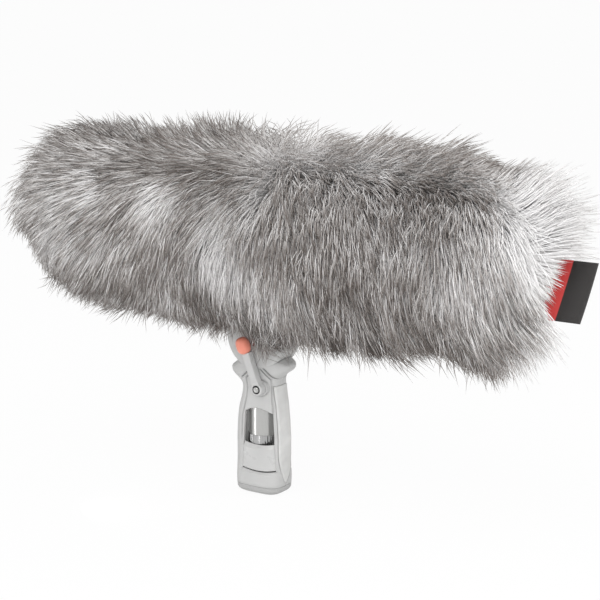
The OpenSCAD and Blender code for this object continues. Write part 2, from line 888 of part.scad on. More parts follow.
module cable_gland() {
    color("#1c1d1e")
        in_basket()
            translate([gland_x - basket_shift, 0, 0])
                difference() {
                    union() {
                        translate([0, 0, -mesh_r - 2.6])
                            cylinder(h = mesh_r + 2.6 - cage_in, r = gland_r + 2.8);
                        translate([0, 0, -mesh_r - 2.6])
                            cylinder(h = 2.4, r = gland_r + 4.2);
                    }
                    translate([0, 0, -mesh_r - 4])
                        cylinder(h = 14, r = gland_r);
                }
}

// Sliding carriage on the rail
module carriage() {
    difference() {
        translate([-carriage_l / 2, -carriage_hw, carriage_z0])
            cube([carriage_l, 2 * carriage_hw, carriage_z1 - carriage_z0]);
        translate([-carriage_l, -rail_w / 2 - run, flange_z0 - run])
            cube([2 * carriage_l, rail_w + 2 * run, rail_t + 2 * run]);
        translate([-carriage_l, -stem_w / 2 - run, carriage_z0 - 1])
            cube([2 * carriage_l, stem_w + 2 * run, 3]);
        translate([0, 0, clamp_z])
            along_y(0, carriage_hw + 1, 1.25);
    }
}

module clamp_screw() {
    translate([0, 0, clamp_z])
        union() {
            along_y(rail_w / 2 + 0.35, carriage_hw + 0.3, 1.2);
            along_y(carriage_hw + 0.1, carriage_hw + 2, 2);
        }
}

// Point on the middle line of a lyre's arm, from its foot to the clip
function arm_pt(u) =
    let (a = (1 - u) * (1 - u) * (1 - u), b = 3 * u * (1 - u) * (1 - u), c = 3 * u * u * (1 - u), d = u * u * u)
    [a * 5 + (b + c) * lyre_reach + d * clip_lug, (a + b) * lyre_z];
function arm_nrm(u) =
    let (p = arm_pt(min(u + 0.01, 1)), q = arm_pt(max(u - 0.01, 0)), v = p - q)
    [-v[1], v[0]] / norm(v);

module lyre_arm() {
    polygon(concat([for (i = [0 : lyre_steps]) arm_pt(i / lyre_steps) + arm_nrm(i / lyre_steps) * lyre_t / 2],
        [for (i = [lyre_steps : -1 : 0]) arm_pt(i / lyre_steps) - arm_nrm(i / lyre_steps) * lyre_t / 2]));
}

module lyre() {
    translate([-lyre_l / 2, 0, 0])
        rotate([90, 0, 90])
            union() {
                linear_extrude(height = lyre_l)
                    lyre_arm();
                linear_extrude(height = lyre_l)
                    mirror([1, 0, 0])
                        lyre_arm();
                linear_extrude(height = lyre_l)
                    polygon([[-7, carriage_z1], [7, carriage_z1], [7, lyre_z + 2.4], [-7, lyre_z + 2.4]]);
            }
}

module clip() {
    difference() {
        union() {
            translate([-clip_l / 2, 0, 0])
                along_x()
                    cylinder(h = clip_l, r = clip_out);
            translate([-clip_l / 2, -clip_lug, -3])
                cube([clip_l, 2 * clip_lug, 6]);
        }
        translate([-clip_l, 0, 0])
            along_x()
                cylinder(h = 2 * clip_l, r = clip_in);
        translate([-clip_l, -clip_in * 0.72, 3.5])
            cube([2 * clip_l, clip_in * 1.44, clip_out]);
    }
}

module front_carriage() { color("#26282a") in_basket() translate([-lyre_x, 0, 0]) carriage(); }

module front_lyre() { color("#3a3c3e") in_basket() translate([-lyre_x, 0, 0]) lyre(); }

module front_clip() { color("#1d1e20") in_basket() translate([-lyre_x, 0, 0]) clip(); }

module front_clamp_screw() { color("#8d9094") in_basket() translate([-lyre_x, 0, 0]) clamp_screw(); }

module rear_carriage() { color("#26282a") in_basket() translate([lyre_x, 0, 0]) carriage(); }

module rear_lyre() { color("#3a3c3e") in_basket() translate([lyre_x, 0, 0]) lyre(); }

module rear_clip() { color("#1d1e20") in_basket() translate([lyre_x, 0, 0]) clip(); }

module rear_clamp_screw() { color("#8d9094") in_basket() translate([lyre_x, 0, 0]) clamp_screw(); }

// Point on an end of the fur, as radius and distance past the tube
function fur_pt(r, d, t) = [r * cos(t), half_tube + d * sin(t)];
function flip(p) = [p[0], -p[1]];

// Place of the label, grown by a gap
module label_place(gap) {
    translate([half_tube + 12 - gap, label_y, -label_drop])
        rotate([label_lean, 0, 0])
            translate([0, -label_w / 2 - gap, -label_t / 2 - gap])
                cube([label_l + 2 * gap, label_w + 2 * gap, label_t + 2 * gap]);
}

// Long spindle that hollows the furrow, deepest in the middle
module parting_furrow() {
    n = 10;
    rotate([part_deg, 0, 0])
        translate([0, 0, fur_out - part_depth + part_r])
            along_x()
                rotate_extrude($fn = 96)
                    polygon(concat(
                        [[0, -part_end]],
                        [for (i = [-n : n]) [part_r - part_depth * pow(i / n, 2), i * part_end / n]],
                        [[0, part_end]]));
}

module jacket_sleeve() {
    n = 4;
    m = 7;
    zip_end = zip_x0 + zip_len;
    color("#8c8a88")
        difference() {
            in_basket()
                difference() {
                    along_x()
                        rotate_extrude($fn = 96)
                            polygon(concat(
                                [for (i = [n : -1 : 0]) flip(fur_pt(fur_in, fur_end_in, i * seam_deg / n))],
                                [for (i = [0 : n]) fur_pt(fur_in, fur_end_in, i * seam_deg / n)],
                                [for (i = [m : -1 : 0]) fur_pt(fur_out, fur_end_out, i * seam_tip_deg / m)],
                                [for (i = [0 : m])
                                    flip(fur_pt(fur_out, fur_end_out, i * seam_tip_deg / m))]));
                    translate([zip_x0 - 6, -zip_w / 2, -fur_out - 1])
                        cube([zip_end - zip_x0 + 6, zip_w, pile + 4]);
                    label_place(0.25);
                    parting_furrow();
                }
            translate([0, 0, tilt_z])
                along_y(-pocket_near, pocket_far, pocket_r);
            translate([notch_x, 0, tilt_z + notch_z])
                along_y(-pocket_near, 0, notch_r);
            translate([0, -pocket_near, tilt_z + notch_z - notch_r])
                cube([notch_x, pocket_near, 2 * notch_r]);
            translate([-slot_front, -slot_side, tilt_z - 10])
                cube([slot_front + slot_back, 2 * slot_side, axis_z - mesh_r - tilt_z + 14]);
        }
}

// Round end of the jacket, drawn for the rear
module jacket_end() {
    n = 8;
    rotate_extrude($fn = 96)
        polygon(concat(
            [for (i = [0 : n]) fur_pt(fur_in, fur_end_in, seam_deg + i * (90 - seam_deg) / n)],
            [for (i = [n : -1 : 0]) fur_pt(fur_out, fur_end_out, seam_tip_deg + i * (90 - seam_tip_deg) / n)]));
}

module jacket_rear() {
    color("#96949a")
        in_basket()
            difference() {
                along_x()
                    jacket_end();
                label_place(0.25);
            }
}

module jacket_front() { color("#96949a") in_basket() mirror([1, 0, 0]) along_x() jacket_end(); }

// Elastic binding round the opening for the head
module slot_binding() {
    z0 = axis_z - mesh_r - binding_h - 2;
    color("#3a3a3c")
        difference() {
            translate([-slot_front, -slot_side, z0])
                cube([slot_front + slot_back, 2 * slot_side, binding_h]);
            translate([-slot_front + binding_t, -slot_side + binding_t, z0 - 1])
                cube([slot_front + slot_back - 2 * binding_t, 2 * (slot_side - binding_t), binding_h + 2]);
        }
}

module zip_tapes() {
    color("#4b4b4d")
        in_basket()
            for (s = [-1, 1])
                translate([zip_x0, s * (tooth_y + zip_w / 2) / 2, -tape_bottom])
                    translate([0, -(zip_w / 2 - tooth_y) / 2, 0])
                        cube([zip_len, zip_w / 2 - tooth_y, tape_t]);
}

module zip_teeth() {
    count = floor((zip_len - 6) / tooth_pitch);
    color("#77797c")
        in_basket()
            for (s = [-1, 1])
                for (i = [0 : count - 1])
                    translate([zip_x0 + 2 + i * tooth_pitch + (s > 0 ? tooth_pitch / 2 : 0),
                        s > 0 ? tooth_y : -tooth_y - tooth_w, -tape_bottom - tooth_h])
                        cube([tooth_l, tooth_w, tooth_h]);
}

module zip_stop() {
    color("#77797c")
        in_basket()
            translate([zip_x0 + zip_len - 3.2, -3, -tape_bottom - 1.6])
                cube([3, 6, 1.6]);
}

module zip_slider() {
    color("#9a9da1")
        in_basket()
            translate([slider_x, 0, 0])
                difference() {
                    union() {
                        translate([-slider_l / 2, -slider_w / 2, -slider_bottom])
                            cube([slider_l, slider_w, slider_t]);
                        translate([-slider_l / 2, -slider_w / 2, -tape_top + run])
                            cube([slider_l, slider_w, 0.8]);
                        translate([-slider_l / 2, -post_hw, -slider_top - 0.5])
                            cube([slider_l, 2 * post_hw, slider_top - tape_top + run + 1]);
                        translate([-2, -fin_hw, -pin_drop])
                            cube([4, 2 * fin_hw, pin_drop - slider_bottom + 0.5]);
                        translate([0, 0, -pin_drop])
                            along_y(-fin_hw, fin_hw, 2);
                    }
                    translate([0, 0, -pin_drop])
                        along_y(-fin_hw - 1, fin_hw + 1, pull_r + pin_run);
                }
}

module zip_pull() {
    hw = fin_hw + run + 1;
    color("#8a8d91")
        in_basket()
            translate([slider_x, 0, -pin_drop])
                difference() {
                    union() {
                        along_y(-hw, hw, 1.3);
                        translate([-1.3, -hw, -pull_l])
                            cube([2.6, 2 * hw, pull_l]);
                    }
                    difference() {
                        translate([-2, -fin_hw - run, -2.8])
                            cube([4, 2 * (fin_hw + run), 6]);
                        along_y(-hw, hw, pull_r);
                    }
                }
}

module label_tag() { color("#b5322c") in_basket() label_place(0); }

grip_near_shell();
grip_far_shell();
grip_back_strap();
core_tube();
knurled_ring();
near_plate();
far_plate();
base_cap();
socket_insert();
shell_screws();
tilt_bolt();
tilt_nut();
friction_washers();
lock_lever();
lever_knob();
lever_shaft();
lever_screw();
brake_shoe();
tilt_knuckle();
basket_cage();
basket_mesh();
front_ring();
rear_ring();
front_cap();
front_cap_mesh();
rear_cap();
rear_cap_mesh();
suspension_rail();
rail_screws();
cable_gland();
front_carriage();
front_lyre();
front_clip();
front_clamp_screw();
rear_carriage();
rear_lyre();
rear_clip();
rear_clamp_screw();
jacket_sleeve();
jacket_front();
jacket_rear();
slot_binding();
zip_tapes();
zip_teeth();
zip_stop();
zip_slider();
zip_pull();
label_tag();
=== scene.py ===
"""Furry windscreen on a pistol grip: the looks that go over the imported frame.

Every sub-assembly is a class that builds its pieces in metres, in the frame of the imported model.
"""

import json
import logging
import math
from dataclasses import dataclass
from enum import Enum

import bpy
import numpy as np
from mathutils import Matrix, Vector
from mathutils.kdtree import KDTree


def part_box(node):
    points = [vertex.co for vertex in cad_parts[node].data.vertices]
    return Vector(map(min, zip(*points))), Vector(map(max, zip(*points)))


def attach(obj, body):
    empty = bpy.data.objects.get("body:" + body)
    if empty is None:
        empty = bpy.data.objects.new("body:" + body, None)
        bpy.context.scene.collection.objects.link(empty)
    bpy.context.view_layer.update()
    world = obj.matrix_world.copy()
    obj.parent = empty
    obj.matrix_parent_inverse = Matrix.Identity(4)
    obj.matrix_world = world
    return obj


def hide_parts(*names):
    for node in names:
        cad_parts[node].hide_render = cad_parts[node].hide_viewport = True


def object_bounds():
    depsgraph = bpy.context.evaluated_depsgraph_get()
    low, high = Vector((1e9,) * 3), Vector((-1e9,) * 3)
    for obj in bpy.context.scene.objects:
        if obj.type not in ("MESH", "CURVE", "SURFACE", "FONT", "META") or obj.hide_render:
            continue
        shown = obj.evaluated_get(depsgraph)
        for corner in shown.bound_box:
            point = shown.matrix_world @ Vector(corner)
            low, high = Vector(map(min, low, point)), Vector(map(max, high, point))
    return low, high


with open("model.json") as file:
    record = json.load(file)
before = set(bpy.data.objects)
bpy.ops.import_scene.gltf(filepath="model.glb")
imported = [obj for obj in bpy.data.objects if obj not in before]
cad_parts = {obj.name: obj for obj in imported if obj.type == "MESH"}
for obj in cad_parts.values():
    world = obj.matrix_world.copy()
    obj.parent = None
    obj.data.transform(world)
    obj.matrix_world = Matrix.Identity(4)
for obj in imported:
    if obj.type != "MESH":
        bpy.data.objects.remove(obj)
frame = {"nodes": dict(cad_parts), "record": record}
CAD_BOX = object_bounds()
LOG = logging.getLogger("windscreen")
MM = 0.001
BAKE_MAP = "OFBake"
# Scale of the wave texture that puts its bands a metre apart
BAND_SCALE = 0.314
Colour = tuple[float, float, float]


class Body(Enum):
    """Moving groups of the frame."""

    GRIP = "grip"
    LEVER = "lever"
    WINDSHIELD = "windshield"


class Slot(Enum):
    """Finishes of the record that new pieces take."""

    FUR = "fur"
    LABEL = "label"
    GRIP_SHELL = "grip_shell"
    GRIP_RUBBER = "grip_rubber"
    PLATE = "plate"
    LEVER = "lever"
    KNOB = "knob"
    CHROME = "chrome"


def smooth(value: np.ndarray, low: float, high: float) -> np.ndarray:
    """Rise smoothly from 0 at low to 1 at high."""
    t = np.clip((value - low) / (high - low), 0.0, 1.0)
    return t * t * (3.0 - 2.0 * t)


def unit(vectors: np.ndarray) -> np.ndarray:
    """Scale rows to length 1."""
    return vectors / np.maximum(np.linalg.norm(vectors, axis=-1, keepdims=True), 1e-9)


def circle(count: int) -> np.ndarray:
    """Give even angles round a full turn, in radians."""
    return np.arange(count) * 2.0 * math.pi / count


def turn_round(points: np.ndarray) -> np.ndarray:
    """Give the angle round the basket in degrees: 0 on top, 90 on the near side."""
    return np.degrees(np.arctan2(-points[:, 1], points[:, 2]))


def ripple(points: np.ndarray, size: float, rng: np.random.Generator, waves: int = 9) -> np.ndarray:
    """Make a smooth random value, about -1 to 1, at each point.

    Args:
        points: Places in metres, one per row.
        size: Width of the patches in metres.
        rng: Source of the random waves.
        waves: How many waves are added up.

    Returns:
        One value per point.
    """
    total = np.zeros(len(points))
    for _ in range(waves):
        heading = unit(rng.normal(size=3))
        pitch = size * rng.uniform(1.4, 3.0)
        total += np.sin(points @ heading * 2.0 * math.pi / pitch + rng.uniform(0.0, 2.0 * math.pi))
    return total / math.sqrt(waves * 0.8)


def make_object(name: str, points: np.ndarray, faces: np.ndarray,
                uv: np.ndarray | None = None) -> bpy.types.Object:
    """Link a smooth mesh object from arrays.

    Args:
        name: Name of the piece.
        points: Vertices in metres.
        faces: Vertex numbers, three or four to a row.
        uv: Map coordinates for each vertex, kept for baking.

    Returns:
        The new object.
    """
    mesh = bpy.data.meshes.new(name)
    corners = faces.shape[1]
    mesh.vertices.add(len(points))
    mesh.vertices.foreach_set("co", points.astype(np.float32).ravel())
    mesh.loops.add(faces.size)
    mesh.loops.foreach_set("vertex_index", faces.astype(np.int32).ravel())
    mesh.polygons.add(len(faces))
    mesh.polygons.foreach_set("loop_start", np.arange(0, faces.size, corners, dtype=np.int32))
    if uv is not None:
        layer = mesh.uv_layers.new(name=BAKE_MAP)
        layer.uv.foreach_set("vector", uv[faces.ravel()].astype(np.float32).ravel())
    mesh.update(calc_edges=True)
    mesh.validate()
    mesh.shade_smooth()
    piece = bpy.data.objects.new(name, mesh)
    bpy.context.scene.collection.objects.link(piece)
    return piece


def facing_out(points: np.ndarray, faces: np.ndarray) -> np.ndarray:
    """Turn a closed mesh's triangles so that they face outwards.

    Args:
        points: Vertices of the mesh.
        faces: Its triangles.

    Returns:
        The triangles, all turned round if they faced inwards.
    """
    a, b, c = (points[faces[:, k]] for k in range(3))
    volume = np.einsum("ij,ij->i", a, np.cross(b, c)).sum()
    return faces if volume > 0.0 else faces[:, ::-1]


def quads(rows: int, columns: int, wrap: bool) -> np.ndarray:
    """Number the triangles of a grid of vertices.

    Args:
        rows: Rows of the grid.
        columns: Vertices in a row.
        wrap: Whether the last column joins the first.

    Returns:
        Two triangles for each cell.
    """
    across = np.arange(columns if wrap else columns - 1)
    first = (np.arange(rows - 1) * columns)[:, None]
    a, b = first + across, first + (across + 1) % columns
    c, d = b + columns, a + columns
    return np.concatenate([np.stack([a, b, c], axis=2), np.stack([a, c, d], axis=2)]).reshape(-1, 3)


def loft(name: str, rings: np.ndarray) -> bpy.types.Object:
    """Close a stack of rings into a solid.

    Args:
        name: Name of the piece.
        rings: Points in millimetres as ring, place round it, coordinate.

    Returns:
        The solid.
    """
    count, around = rings.shape[:2]
    points = np.concatenate([rings.reshape(-1, 3), rings[[0, -1]].mean(axis=1)])
    turn = np.arange(around)
    following = (turn + 1) % around
    low, high = count * around, count * around + 1
    last = (count - 1) * around
    caps = [np.stack([np.full(around, low), following, turn], axis=1),
            np.stack([np.full(around, high), last + turn, last + following], axis=1)]
    faces = np.concatenate([quads(count, around, True), *caps])
    return make_object(name, points * MM, facing_out(points, faces))


def slab(name: str, outer: np.ndarray, inner: np.ndarray) -> bpy.types.Object:
    """Close the room between two sheets of points.

    Args:
        name: Name of the piece.
        outer: Points in millimetres as row, column, coordinate.
        inner: The other side, in the same order.

    Returns:
        The solid.
    """
    rows, columns = outer.shape[:2]
    number = np.arange(rows * columns).reshape(rows, columns)
    rim = np.concatenate([number[0], number[1:, -1], number[-1, -2::-1], number[-2:0:-1, 0]])
    after = np.roll(rim, -1)
    shift = rows * columns
    front = quads(rows, columns, False)
    painted_light_walls = np.concatenate([np.stack([after, rim, rim + shift], axis=1),
                            np.stack([after, rim + shift, after + shift], axis=1)])
    points = np.concatenate([outer.reshape(-1, 3), inner.reshape(-1, 3)])
    faces = np.concatenate([front, front[:, ::-1] + shift, painted_light_walls])
    return make_object(name, points * MM, facing_out(points, faces))


def rod(centre: tuple[float, float], low: float, high: float, radius: float,
        sides: int = 96) -> bpy.types.Object:
    """Make a plain rod across the grip, in millimetres, to add or to cut with.

    Args:
        centre: Place of its axis, as X and Z.
        low: One end along Y.
        high: The other end along Y.
        radius: Its radius.
        sides: Faces round it.

    Returns:
        The rod.
    """
    turn = circle(sides)
    x, z = centre[0] + radius * np.cos(turn), centre[1] + radius * np.sin(turn)
    return loft("rod", np.stack([np.stack([x, np.full(sides, y), z], axis=1) for y in (low, high)]))


def block(low: tuple[float, float, float], high: tuple[float, float, float], turn: float = 0.0,
          about: tuple[float, float] = (0.0, 0.0)) -> bpy.types.Object:
    """Make a box in millimetres, turned about an axis along Y, to cut with.

    Args:
        low: Lowest corner, from the axis.
        high: Highest corner, from the axis.
        turn: Turn about the axis in radians.
        about: Place of the axis, as X and Z.

    Returns:
        The box.
    """
    x = np.array([low[0], high[0], high[0], low[0]])
    z = np.array([low[2], low[2], high[2], high[2]])
    cos, sin = math.cos(turn), math.sin(turn)
    corners = np.stack([about[0] + cos * x + sin * z, np.zeros(4), about[1] - sin * x + cos * z], axis=1)
    return loft("block", np.stack([corners + np.array([0.0, y, 0.0]) for y in (low[1], high[1])]))


def carve(piece: bpy.types.Object, others: list[bpy.types.Object], operation: str = "DIFFERENCE",
          crease: float = 34.0) -> None:
    """Cut other solids from a piece, or add them to it, and keep its creases sharp.

    Args:
        piece: The solid that is changed.
        others: Solids that are used up.
        operation: Boolean operation.
        crease: Angle in degrees from which an edge stays sharp.
    """
    for other in others:
        cut = piece.modifiers.new("cut", "BOOLEAN")
        cut.operation = operation
        cut.solver = "MANIFOLD"
        cut.object = other
    shape = bpy.data.meshes.new_from_object(piece.evaluated_get(bpy.context.evaluated_depsgraph_get()))
    piece.modifiers.clear()
    piece.data = shape
    for other in others:
        bpy.data.objects.remove(other)
    shape.shade_smooth()
    shape.set_sharp_from_angle(angle=math.radians(crease))


def hang(piece: bpy.types.Object, finish: bpy.types.Material, slot: Slot, body: Body, *nodes: str) -> None:
    """Give a piece its finish and its place in the frame.

    Args:
        piece: The new piece.
        finish: Its material.
        slot: Finish of the record that it takes. Not used.
        body: Moving group that it rides on.
        *nodes: CAD nodes that it stands for.
    """
    piece.data.materials.clear()
    piece.data.materials.append(finish)
    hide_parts(*nodes)
    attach(piece, body.value)
    LOG.info("%s: %d faces", piece.name, len(piece.data.polygons))


def shade(colour: Colour, factor: float) -> Colour:
    """Darken or lighten a colour."""
    return tuple(min(1.0, part * factor) for part in colour)


class Graph:
    """Short hand for building a material's nodes."""

    def __init__(self, name: str) -> None:
        """Start an empty material with an output and a principled shader."""
        self.material = bpy.data.materials.new(name)
        self.material.use_nodes = True
        self.tree = self.material.node_tree
        self.tree.nodes.clear()
        self.output = self.tree.nodes.new("ShaderNodeOutputMaterial")
        self.shader = self.tree.nodes.new("ShaderNodeBsdfPrincipled")
        self.link(self.shader.outputs["BSDF"], self.output.inputs["Surface"])

    def node(self, kind: str, **settings: object) -> bpy.types.Node:
        """Add a node and set its properties.

        Args:
            kind: Blender's name for the node.
            **settings: Properties and their values.

        Returns:
            The node.
        """
        made = self.tree.nodes.new(kind)
        for key, value in settings.items():
            setattr(made, key, value)
        return made

    def link(self, source: bpy.types.NodeSocket, target: bpy.types.NodeSocket) -> None:
        """Join two sockets."""
        self.tree.links.new(source, target)

    def place(self) -> bpy.types.NodeSocket:
        """Return the object's own coordinates."""
        return self.node("ShaderNodeTexCoord").outputs["Object"]

    def split(self, vector: bpy.types.NodeSocket) -> bpy.types.bpy_prop_collection:
        """Take a vector apart.

        Args:
            vector: The vector's socket.

        Returns:
            Its X, Y and Z sockets.
        """
        made = self.node("ShaderNodeSeparateXYZ")
        self.link(vector, made.inputs["Vector"])
        return made.outputs

    def threads(self, direction: str, pitch: float, distortion: float) -> bpy.types.NodeSocket:
        """Add bands of thread.

        Args:
            direction: Axis that the bands follow each other along.
            pitch: Distance between threads in metres.
            distortion: How uneven they are.

        Returns:
            The threads' height.
        """
        made = self.node("ShaderNodeTexWave", wave_type="BANDS", bands_direction=direction)
        made.inputs["Scale"].default_value = BAND_SCALE / pitch
        made.inputs["Distortion"].default_value = distortion
        self.link(self.place(), made.inputs["Vector"])
        return made.outputs["Fac"]

    def noise(self, scale: float, detail: float = 3.0,
              stretch: Colour = (1.0, 1.0, 1.0)) -> bpy.types.NodeSocket:
        """Add a noise value.

        Args:
            scale: Patches per metre.
            detail: Octaves of the noise.
            stretch: Scale along each axis.

        Returns:
            The noise's value socket.
        """
        mapping = self.node("ShaderNodeMapping")
        mapping.inputs["Scale"].default_value = stretch
        self.link(self.place(), mapping.inputs["Vector"])
        made = self.node("ShaderNodeTexNoise")
        made.inputs["Scale"].default_value = scale
        made.inputs["Detail"].default_value = detail
        self.link(mapping.outputs["Vector"], made.inputs["Vector"])
        return made.outputs["Fac"]

    def ramp(self, source: bpy.types.NodeSocket, stops: list[tuple[float, Colour]]) -> bpy.types.NodeSocket:
        """Turn a value into a colour.

        Args:
            source: Value from 0 to 1.
            stops: Each stop's place and colour.

        Returns:
            The ramp's colour socket.
        """
        made = self.node("ShaderNodeValToRGB")
        elements = made.color_ramp.elements
        while len(elements) < len(stops):
            elements.new(1.0)
        for element, (at, colour) in zip(elements, stops):
            element.position = at
            element.color = (*colour, 1.0)
        self.link(source, made.inputs["Fac"])
        return made.outputs["Color"]

    def shades(self, source: bpy.types.NodeSocket, colour: Colour, dark: float, pale: float,
               ends: tuple[float, float] = (0.3, 0.7)) -> bpy.types.NodeSocket:
        """Vary the brightness of a colour with a value.

        Args:
            source: Value from 0 to 1.
            colour: The middle colour.
            dark: Brightness at the low end.
            pale: Brightness at the high end.
            ends: Values at the two ends.

        Returns:
            The colour's socket.
        """
        return self.ramp(source, [(ends[0], shade(colour, dark)), (ends[1], shade(colour, pale))])

    def span(self, source: bpy.types.NodeSocket, low: float, high: float,
             to_low: float = 0.0, to_high: float = 1.0, soft: bool = False) -> bpy.types.NodeSocket:
        """Map one range of values to another.

        Args:
            source: The value.
            low: Start of its range.
            high: End of its range.
            to_low: Value given at the start.
            to_high: Value given at the end.
            soft: Whether the steps at both ends are eased.

        Returns:
            The mapped value's socket.
        """
        made = self.node("ShaderNodeMapRange", interpolation_type="SMOOTHSTEP" if soft else "LINEAR")
        for key, value in (("From Min", low), ("From Max", high), ("To Min", to_low), ("To Max", to_high)):
            made.inputs[key].default_value = value
        self.link(source, made.inputs["Value"])
        return made.outputs["Result"]

    def math(self, operation: str, first: bpy.types.NodeSocket,
             second: bpy.types.NodeSocket | float) -> bpy.types.NodeSocket:
        """Add a math node.

        Args:
            operation: What it works out.
            first: First value.
            second: Second value, or a plain number.

        Returns:
            The result's socket.
        """
        made = self.node("ShaderNodeMath", operation=operation)
        self.link(first, made.inputs[0])
        if isinstance(second, (int, float)):
            made.inputs[1].default_value = second
        else:
            self.link(second, made.inputs[1])
        return made.outputs["Value"]

    def mix(self, factor: bpy.types.NodeSocket, first: bpy.types.NodeSocket | Colour,
            second: bpy.types.NodeSocket | Colour) -> bpy.types.NodeSocket:
        """Mix two colours.

        Args:
            factor: Share of the second colour.
            first: First colour.
            second: Second colour.

        Returns:
            The mixed colour's socket.
        """
        made = self.node("ShaderNodeMix", data_type="RGBA")
        self.link(factor, made.inputs["Factor"])
        for key, value in (("A", first), ("B", second)):
            socket = next(s for s in made.inputs if s.name == key and s.type == "RGBA")
            if isinstance(value, tuple):
                socket.default_value = (*value, 1.0)
            else:
                self.link(value, socket)
        return next(s for s in made.outputs if s.type == "RGBA")

    def bump(self, height: bpy.types.NodeSocket, depth: float, strength: float = 0.5) -> None:
        """Raise the surface by a height value.

        Args:
            height: Height from 0 to 1.
            depth: What a height of 1 stands for, in metres.
            strength: Share of the effect.
        """
        made = self.node("ShaderNodeBump")
        made.inputs["Strength"].default_value = strength
        made.inputs["Distance"].default_value = depth
        self.link(height, made.inputs["Height"])
        self.link(made.outputs["Normal"], self.shader.inputs["Normal"])

    def colour(self, source: bpy.types.NodeSocket) -> None:
        """Use a socket as the base colour."""
        self.link(source, self.shader.inputs["Base Color"])

    def rough(self, source: bpy.types.NodeSocket) -> None:
        """Use a socket as the roughness."""
        self.link(source, self.shader.inputs["Roughness"])

    def settings(self, **values: float) -> None:
        """Set plain numbers on the shader's own sockets, with _ for a space in their names."""
        for key, value in values.items():
            self.shader.inputs[key.replace("_", " ")].default_value = value


@dataclass(frozen=True)
class GripPaintedShading:
    """Painted shade and painted light on the grip's plastic, in metres: painted shade on its foot and in its
    grooves, painted light on the walls of its hollow.
    """

    foot: float = 0.006
    foot_blend: tuple[float, float] = (0.001, 0.0025)
    hollow: tuple[float, float] = (0.0186, 0.0129)
    hollow_power: float = 2.8
    hollow_top: tuple[float, float] = (0.075, 0.078)
    groove: float = 0.002
    groove_open: tuple[float, float] = (0.62, 0.95)

    def paint(self, graph: Graph, cloud: bpy.types.NodeSocket, skin: bpy.types.NodeSocket,
              colour: Colour) -> bpy.types.NodeSocket:
        """Paint shade on the foot and in the grooves, and paint light on the walls of the hollow.

        Args:
            graph: Nodes of the plastic.
            cloud: Noise that varies every tone.
            skin: Colour of the plain skin.
            colour: Middle colour of the plastic.

        Returns:
            The changed colour.
        """
        parts = graph.split(graph.place())
        # Painted shade: the plastic below the foot height is darkened, where the base's lower edge curves in.
        below, above = self.foot_blend
        low = graph.span(parts["Z"], self.foot - below, self.foot + above, 1.0, 0.0)
        skin = graph.mix(low, skin, graph.shades(cloud, colour, 0.76, 0.84))
        # Painted light: the inner walls of the hollow, seen through the windows, are made much paler than the
        # skin so that they read as lit.
        shares = []
        for axis, half in zip(("X", "Y"), self.hollow):
            share = graph.math("ABSOLUTE", graph.math("MULTIPLY", parts[axis], 1.0 / half), 0.0)
            shares.append(graph.math("POWER", share, self.hollow_power))
        inside = graph.span(graph.math("ADD", *shares), 0.98, 1.02, 1.0, 0.0)
        painted_light_walls = graph.math("MULTIPLY", inside, graph.span(parts["Z"], *self.hollow_top, 1.0, 0.0))
        skin = graph.mix(painted_light_walls, skin, graph.shades(cloud, colour, 1.7, 1.9))
        # Painted shade: ambient occlusion darkens the grooves and gaps in the shell's colour.
        shelter = graph.node("ShaderNodeAmbientOcclusion", samples=8, only_local=True)
        shelter.inputs["Distance"].default_value = self.groove
        painted_groove_shade = graph.span(shelter.outputs["AO"], *self.groove_open, 1.0, 0.0)
        return graph.mix(painted_groove_shade, skin, graph.shades(cloud, colour, 0.55, 0.62))


@dataclass(frozen=True)
class MouldedPlastic:
    """Satin moulded plastic with a fine spark-eroded grain."""

    name: str
    colour: Colour
    roughness: float = 0.5
    grain: float = 2200.0
    depth: float = 0.00006
    # Painted shade and painted light for the grip's shells; None for plain plastic.
    tones: GripPaintedShading | None = None

    def build(self) -> bpy.types.Material:
        """Make the material.

        Returns:
            The material.
        """
        graph = Graph(self.name)
        cloud = graph.noise(28.0, 4.0)
        skin = graph.shades(cloud, self.colour, 0.92, 1.06)
        if self.tones:
            skin = self.tones.paint(graph, cloud, skin, self.colour)
        graph.colour(skin)
        graph.rough(graph.span(graph.noise(90.0), 0.3, 0.7, self.roughness - 0.06, self.roughness + 0.08))
        graph.bump(graph.noise(self.grain, 2.0), self.depth, 0.35)
        return graph.material


@dataclass(frozen=True)
class WorkedMetal:
    """Bare or plated metal with fine lines along one axis."""

    name: str
    colour: Colour
    roughness: float = 0.28
    stretch: Colour = (1.0, 1.0, 0.04)
    lines: float = 1800.0

    def build(self) -> bpy.types.Material:
        """Make the material.

        Returns:
            The material.
        """
        graph = Graph(self.name)
        graph.settings(Metallic=1.0)
        line = graph.noise(self.lines, 3.0, self.stretch)
        graph.colour(graph.shades(line, self.colour, 0.88, 1.08, (0.25, 0.75)))
        graph.rough(graph.span(line, 0.25, 0.75, self.roughness - 0.05, self.roughness + 0.08))
        graph.bump(line, 0.00002, 0.3)
        return graph.material


@dataclass(frozen=True)
class TurnedTube:
    """Bright turned tube with faint rings."""

    name: str
    colour: Colour
    metal: float = 0.7
    roughness: float = 0.19
    rings: float = 5200.0

    def build(self) -> bpy.types.Material:
        """Make the material.

        Returns:
            The material.
        """
        graph = Graph(self.name)
        graph.settings(Metallic=self.metal)
        line = graph.noise(self.rings, 2.0, (0.03, 0.03, 1.0))
        graph.colour(graph.shades(line, self.colour, 0.97, 1.03, (0.25, 0.75)))
        graph.rough(graph.span(line, 0.25, 0.75, self.roughness - 0.01, self.roughness + 0.01))
        return graph.material


